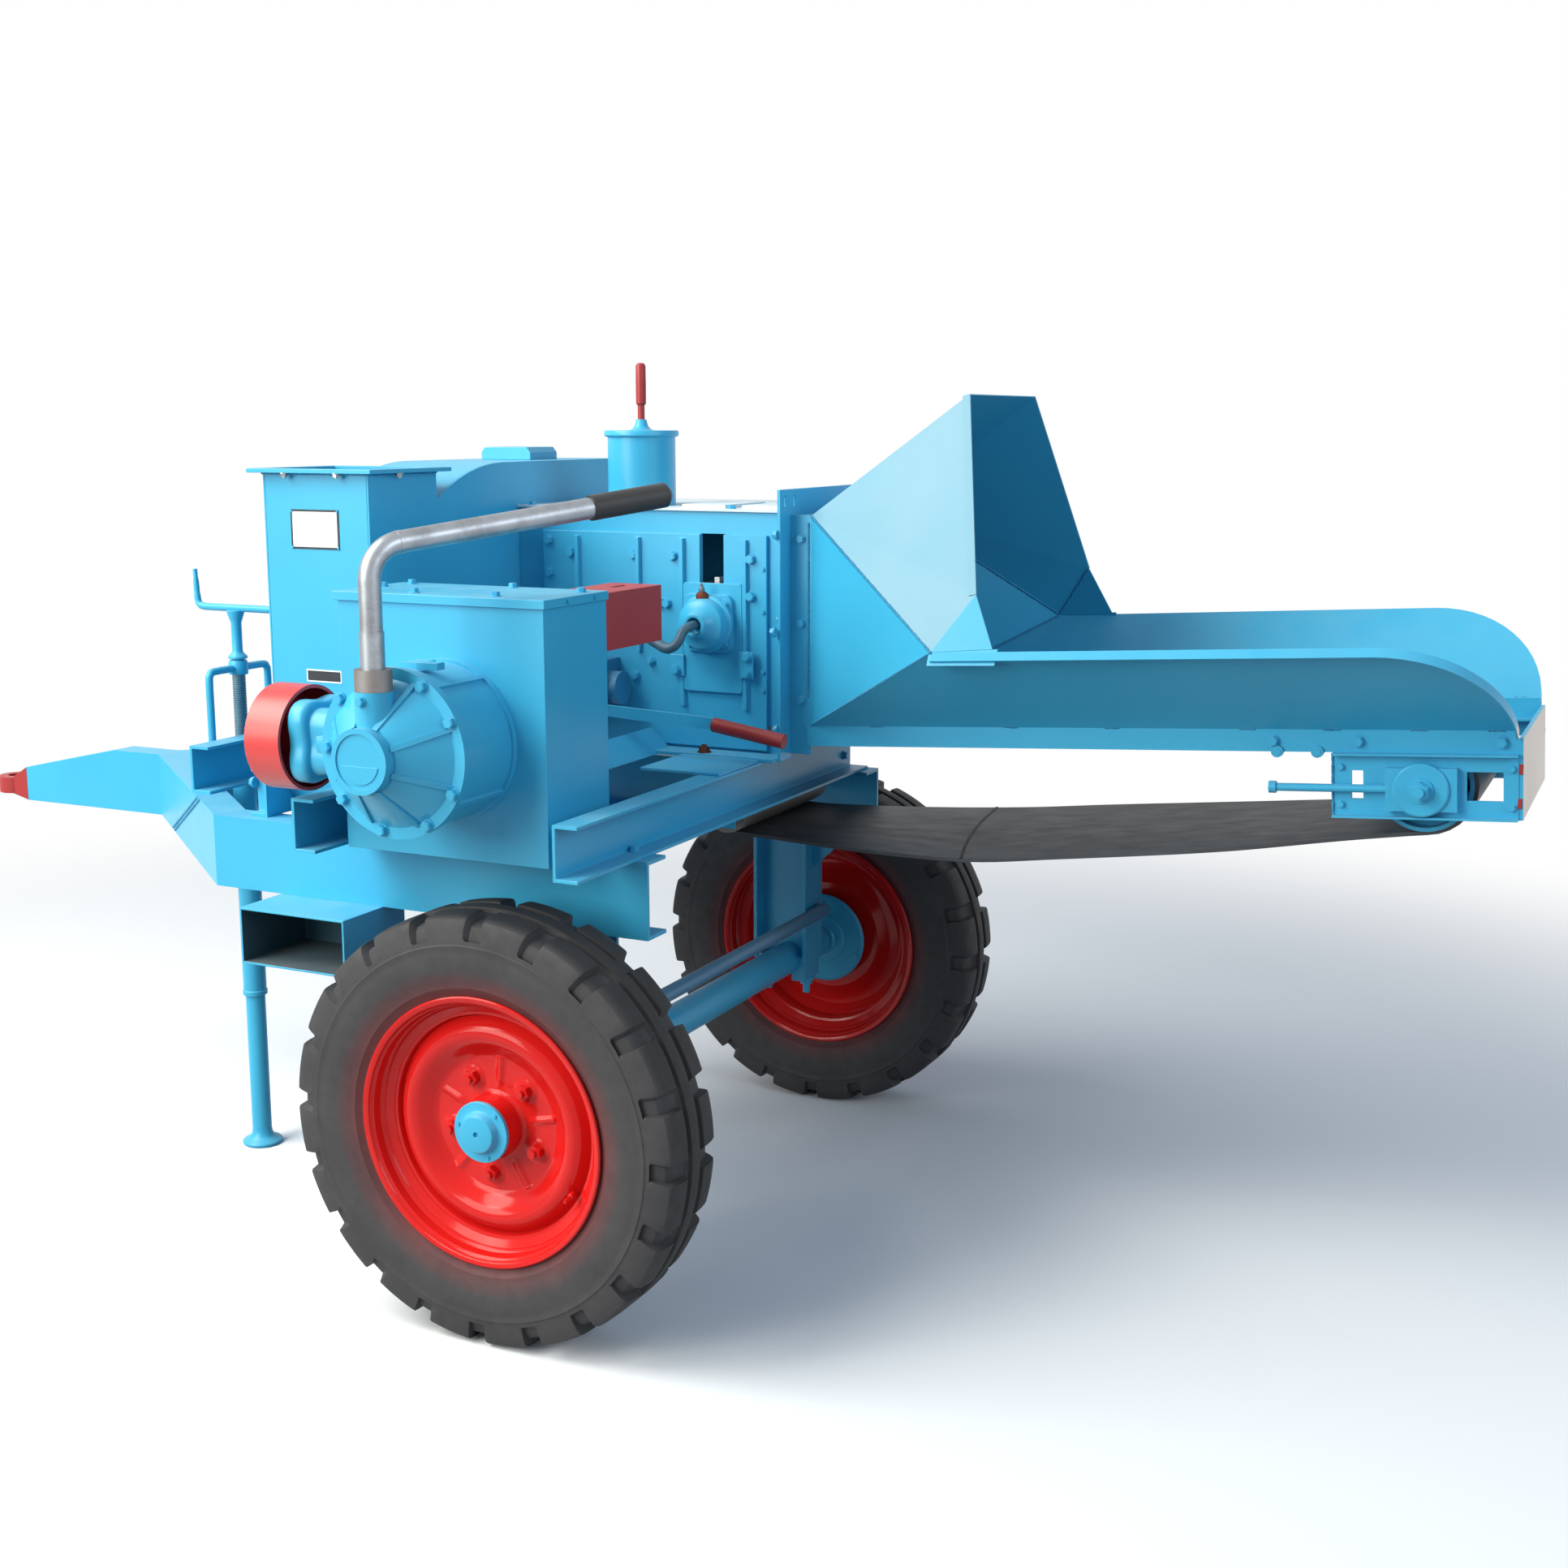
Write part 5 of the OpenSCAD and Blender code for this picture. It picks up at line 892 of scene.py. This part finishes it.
def nodeTree(name, inputs):
    tree = bpy.data.node_groups.new(name, "GeometryNodeTree")
    tree.interface.new_socket("Geometry", in_out="INPUT", socket_type="NodeSocketGeometry")
    for label, kind in inputs.items():
        tree.interface.new_socket(label, in_out="INPUT", socket_type="NodeSocket" + kind)
    tree.interface.new_socket("Geometry", in_out="OUTPUT", socket_type="NodeSocketGeometry")
    return tree, partial(addNode, tree), addNode(tree, "NodeGroupInput").outputs


def finishNodes(add, geometry, finish, smooth):
    real = add("RealizeInstances", {}, {"Geometry": geometry})
    shaded = add("SetShadeSmooth", {"Shade Smooth": smooth}, {"Geometry": real})
    coated = add("SetMaterial", {}, {"Geometry": shaded, "Material": finish})
    add("NodeGroupOutput", {}, {"Geometry": coated})


# runs a tree once over points and edges, and keeps its result as a plain mesh
def addSettled(name, points, edges, tree, values, body, attributes=()):
    mesh = bpy.data.meshes.new(name)
    mesh.from_pydata(points, edges, [])
    for label, kind, field, data in attributes:
        mesh.attributes.new(label, kind, "POINT").data.foreach_set(field, data)
    piece = addObject(name, mesh)
    modifier = piece.modifiers.new("nodes", "NODES")
    modifier.node_group = tree
    for item in tree.interface.items_tree:
        if item.in_out == "INPUT" and item.name in values:
            modifier[item.identifier] = values[item.name]
    graph = bpy.context.evaluated_depsgraph_get()
    settled = bpy.data.meshes.new_from_object(piece.evaluated_get(graph))
    piece.modifiers.clear()
    piece.data = settled
    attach(piece, body)


def fastenerTree():  # washer, head, crown and thread end stacked on each point, in shares of the head's radius
    shares = dict.fromkeys(("headHeight", "shoulder", "washerReach", "threadHeight"), "Float")
    tree, add, given = nodeTree("fastenerField", {"sides": "Int", **shares, "finish": "Material"})
    headRise = add("ShaderNodeMath", {"operation": "MULTIPLY_ADD", 1: 0.5, 2: 0.2}, {0: given["headHeight"]})
    crownRise = add("ShaderNodeMath", {"operation": "ADD", 1: 0.24}, {0: given["headHeight"]})
    threadRise = add("ShaderNodeMath", {"operation": "MULTIPLY_ADD", 1: 0.5}, {0: given["threadHeight"], 2: crownRise})
    whole = add("JoinGeometry")
    stack = [({"Vertices": 20, "Depth": 0.4}, {"Radius": given["washerReach"]}, {}),
             ({"Radius": 1.0}, {"Vertices": given["sides"], "Depth": given["headHeight"]}, {"Z": headRise}),
             ({"Depth": 0.12}, {"Vertices": given["sides"], "Radius": given["shoulder"]}, {"Z": crownRise}),
             ({"Vertices": 12, "Radius": 0.52}, {"Depth": given["threadHeight"]}, {"Z": threadRise})]
    for settings, links, rise in stack:
        place = add("ShaderNodeCombineXYZ", {}, rise)
        lifted = add("Transform", {}, {"Geometry": add("MeshCylinder", settings, links), "Translation": place})
        tree.links.new(lifted.outputs[0], whole.inputs[0])
    axis, size, turn = [add("InputNamedAttribute", {"data_type": kind, "Name": label}).outputs["Attribute"]
                        for label, kind in (("axis", "FLOAT_VECTOR"), ("size", "FLOAT"), ("turn", "FLOAT"))]
    upright = add("FunctionNodeAlignRotationToVector", {"axis": "Z"}, {"Vector": axis})
    spin = add("FunctionNodeAxisAngleToRotation", {"Axis": (0, 0, 1)}, {"Angle": turn})
    turned = add("FunctionNodeRotateRotation", {"rotation_space": "LOCAL"}, {"Rotation": upright, "Rotate By": spin})
    placed = {"Points": given["Geometry"], "Instance": whole, "Rotation": turned, "Scale": size}
    field = add("InstanceOnPoints", {}, placed)
    finishNodes(add, field, given["finish"], False)
    return tree


table = {"x": 283, "z": 1080, "slope": math.radians(3.5)}


def onTable(s, y, w):  # a place along the sloping table
    across, along = math.sin(table["slope"]), math.cos(table["slope"])
    return table["x"] + s * along - w * across, y, table["z"] + s * across + w * along


# each row: axis, head radius in mm, places
fastenerSets = [
    {"name": "trailerBolts", "kind": "hexBolt", "rows": [
        (front, 10.5, [(x, 30, z) for x, z in ((-373, 1518), (-373, 1443), (-314, 1491), (-149, 1490), (-48, 1490),
                                               (148, 1488), (148, 1406), (-148, 1215), (-64, 1383), (-82, 1384))]),
        (front, 10, [(-33, 13, 1236), (144, 13, 1236), (146, 13, 1274)]),
        (front, 11, ringPlaces((-141, -897, 1175), 151, (27, 61, 140, 179, 219, 259, 300, 334), "xz")),
        (front, 9, [(-143, -981, 1284)]),
        (up, 9, [(x, y, 1457) for x, y in ((-372, -600), (-360, -520), (-230, -690), (-40, -690), (-120, -510),
                                           (60, -540))]),
        (front, 9, [(265, 40, 1535), (266, 40, 1351), (267, 40, 1182)]),
        (forward, 9, [(232, 10, 1360), (232, -24, 1336), (232, -12, 1545), (232, -12, 1120)]),
        *[(axis, 10.5, [onTable(s, y, 22) for s in (1022, 1186, 1450)]) for axis, y in ((front, 36), (back, 524))],
        *[(axis, 7, [onTable(s, y, w) for s in (1152, 1468) for w in (-28, -102)])
          for axis, y in ((front, 34), (back, 526))],
        (up, 8, [(x, y, 1596) for x in (-430, -330, 90, 215) for y in (52, 508)]),
        (forward, 10, ringPlaces((-752, -15, 1190), 75, range(0, 360, 60), "yz")),
        (forward, 9, ringPlaces((-738, -15, 1190), 478, range(-100, 190, 22), "yz")),
        (back, 9, [(x, 520, z) for x in (-420, -230, -120, 200) for z in (1120, 1330, 1545)]),
        *[(axis, 6, [(0, y, 532), (96, y, 400), (-96, y, 400)]) for axis, y in ((front, 745), (back, -745))],
        (forward, 10, [(-784, y, 1010) for y in (-540, 540)]),
        (rearward, 9, [(157, 525, 974)]),
        (up, 9, [(168, -535, 947)]),
    ]},
    {"name": "trailerRivets", "kind": "roundHead", "rows": [
        (front, 5, [(177, 30, z) for z in (1467, 1373, 1240, 1198, 1100)]),
        (rearward, 4.5, [(91, -640, 1448), (91, -540, 1448)]),
        (front, 2.6, [(x, -521, z) for x in (-664, -544) for z in (1524.5, 1600.5)]),
        (front, 12, [onTable(s, 38, 1) for s in (1030, 1108)]),
    ]},
    {"name": "axleNuts", "kind": "hexNut", "rows": [
        (down, 16, [(x, y, post["clampLow"]) for x in post["studs"] for y in (-545.5, 545.5)]),
        *[(axis, 19, [(1589.8, y, 1090.8)]) for axis, y in ((front, 9), (back, 551))],
        (front, 9, [(-106, 30, 1249)]),
    ]},
    {"name": "footNuts", "kind": "hexNut", "finish": rustySteel, "slot": "bare_steel", "rows": [
        (up, 12, [(49, -10, 1056)])]},
    {"name": "chuteNuts", "kind": "hexNut", "finish": turnedSteel, "slot": "bare_steel", "rows": [
        (down, 7, [(-668, -535, 1680), (-449, -430, 1680), (-532, -535, 1680)])]},
    {"name": "slideBolts", "kind": "hexBolt", "body": "roller_slide", "rows": [
        (axis, 10, [(x, y, z) for x in (93, 8) for z in (1387, 1301)]) for axis, y in ((front, 7.7), (back, 552.3))]},
]
for side, word in sides:
    fastenerSets.append({"name": word + "CapScrews", "kind": "roundHead", "body": word + "_wheel", "rows": [
        ((0, side, 0), 4, ringPlaces((0, side * 852, wheelAt["height"]), 52, (48, 168, 288), "xz"))]})


def makeFasteners():
    tree = fastenerTree()
    count = 0
    for group in fastenerSets:
        turns = random.Random(11)
        spots, axes, sizes, spins = [], [], [], []
        for axis, radius, places in group["rows"]:
            for place in places:
                spots.append(at(*place))
                axes += list(axis)
                sizes.append(radius / 1000)
                spins.append(turns.uniform(0, math.pi / 3))
        attributes = [("axis", "FLOAT_VECTOR", "vector", axes), ("size", "FLOAT", "value", sizes),
                      ("turn", "FLOAT", "value", spins)]
        values = {**fastenerKinds[group["kind"]], "finish": group.get("finish", skyEnamel)}
        body, slotName = group.get("body", "trailer"), group.get("slot", "blue_paint")
        addSettled(group["name"], spots, [], tree, values, body, attributes)
        count += len(spots)
    print("fasteners:", count)


makeFasteners()


# welds by geometry nodes: overlapping beads laid along each seam, painted over in a darker blue that paints the shade
# among the beads

weldLook = {"pitch": 0.0042, "bead": 0.0031, "seed": 5}
seams = [
    [(283, 40, 1190), (283, 40, 1568)],
    [(290, 39.5, 1584), (644, -151, 1326)],
    [(290, 39.5, 1127), (644, -151, 1326)],
    [(-1040, -443, 937), (-1372, -172, 786)],
    [(-1016, -463, 937), (-1348, -192, 786)],
    [(-738, -520.5, 1679), (-462, -520.5, 1679)],
    [(-461.5, -520, 1679), (-461.5, -281, 1679)],
    [(-738.5, -520, 1679), (-738.5, -281, 1679)],
    [(292, 516.5, 1583), (643, 706, 1328)],
    [(292, 516.5, 1128), (643, 706, 1325)],
    [(645, 706, 1328), (724, 668, 1441)],
    [(post["rear"] + 0.5, 550, post["top"] - 1), (post["rear"] + 0.5, 595, post["top"] - 1)],
    *[[(x, y, post["top"] - 1) for x in (post["front"], post["rear"])] for y in (post["outer"], -post["outer"])],
    *[[onTable(s - 14, y, 45.5), onTable(s + 14, y, 45.5)]
      for y in (36, 524) for s in (170, 475, 695, 970, 1135, 1300, 1440)],
    *[[onTable(1137, y, -122), onTable(1137, y, -6)] for y in (33.5, 526.5)],
]


def weldTree():
    tree, add, given = nodeTree("weldBead", {"pitch": "Float", "bead": "Float", "seed": "Int", "finish": "Material"})
    line = add("MeshToCurve", {}, {"Mesh": given["Geometry"]})
    spaced = add("ResampleCurve", {"mode": "LENGTH"}, {"Curve": line, "Length": given["pitch"]})
    drop = add("MeshUVSphere", {"Segments": 8, "Rings": 5}, {"Radius": given["bead"]})
    uneven = add("FunctionNodeRandomValue", {"data_type": "FLOAT_VECTOR", 0: (0.7, 0.7, 0.7), 1: (1.2, 1.2, 1.2)},
                 {"Seed": given["seed"]})
    beads = add("InstanceOnPoints", {}, {"Points": spaced, "Instance": drop, "Scale": uneven})
    finishNodes(add, beads, given["finish"], True)
    return tree


points = [at(*place) for seam in seams for place in seam]
edges = [(k, k + 1) for k in range(0, len(points), 2)]
addSettled("frameWelds", points, edges, weldTree(), {**weldLook, "finish": weldShadeEnamel}, "trailer")
print("weld seams:", len(seams))


# jack thread by geometry nodes: ridges stacked along the screw inside the yoke

thread = {"count": 34, "pitch": 0.0055, "ridge": 0.0158, "finish": pipeSteel}
threadLow = (jack["x"], jack["y"], 1004)


def threadTree():
    sockets = {"count": "Int", "pitch": "Float", "ridge": "Float", "finish": "Material"}
    tree, add, given = nodeTree("jackThread", sockets)
    step = add("ShaderNodeCombineXYZ", {}, {"Z": given["pitch"]})
    line = add("MeshLine", {}, {"Count": given["count"], "Offset": step})
    ridge = add("MeshCylinder", {"Vertices": 20, "Depth": 0.003}, {"Radius": given["ridge"]})
    stack = add("InstanceOnPoints", {}, {"Points": line, "Instance": ridge})
    raised = add("SetPosition", {"Offset": tuple(at(*threadLow))}, {"Geometry": stack})
    finishNodes(add, raised, given["finish"], False)
    return tree


addSettled("jackScrewThread", [], [], threadTree(), thread, "jack_crank")
print("jack thread cut")
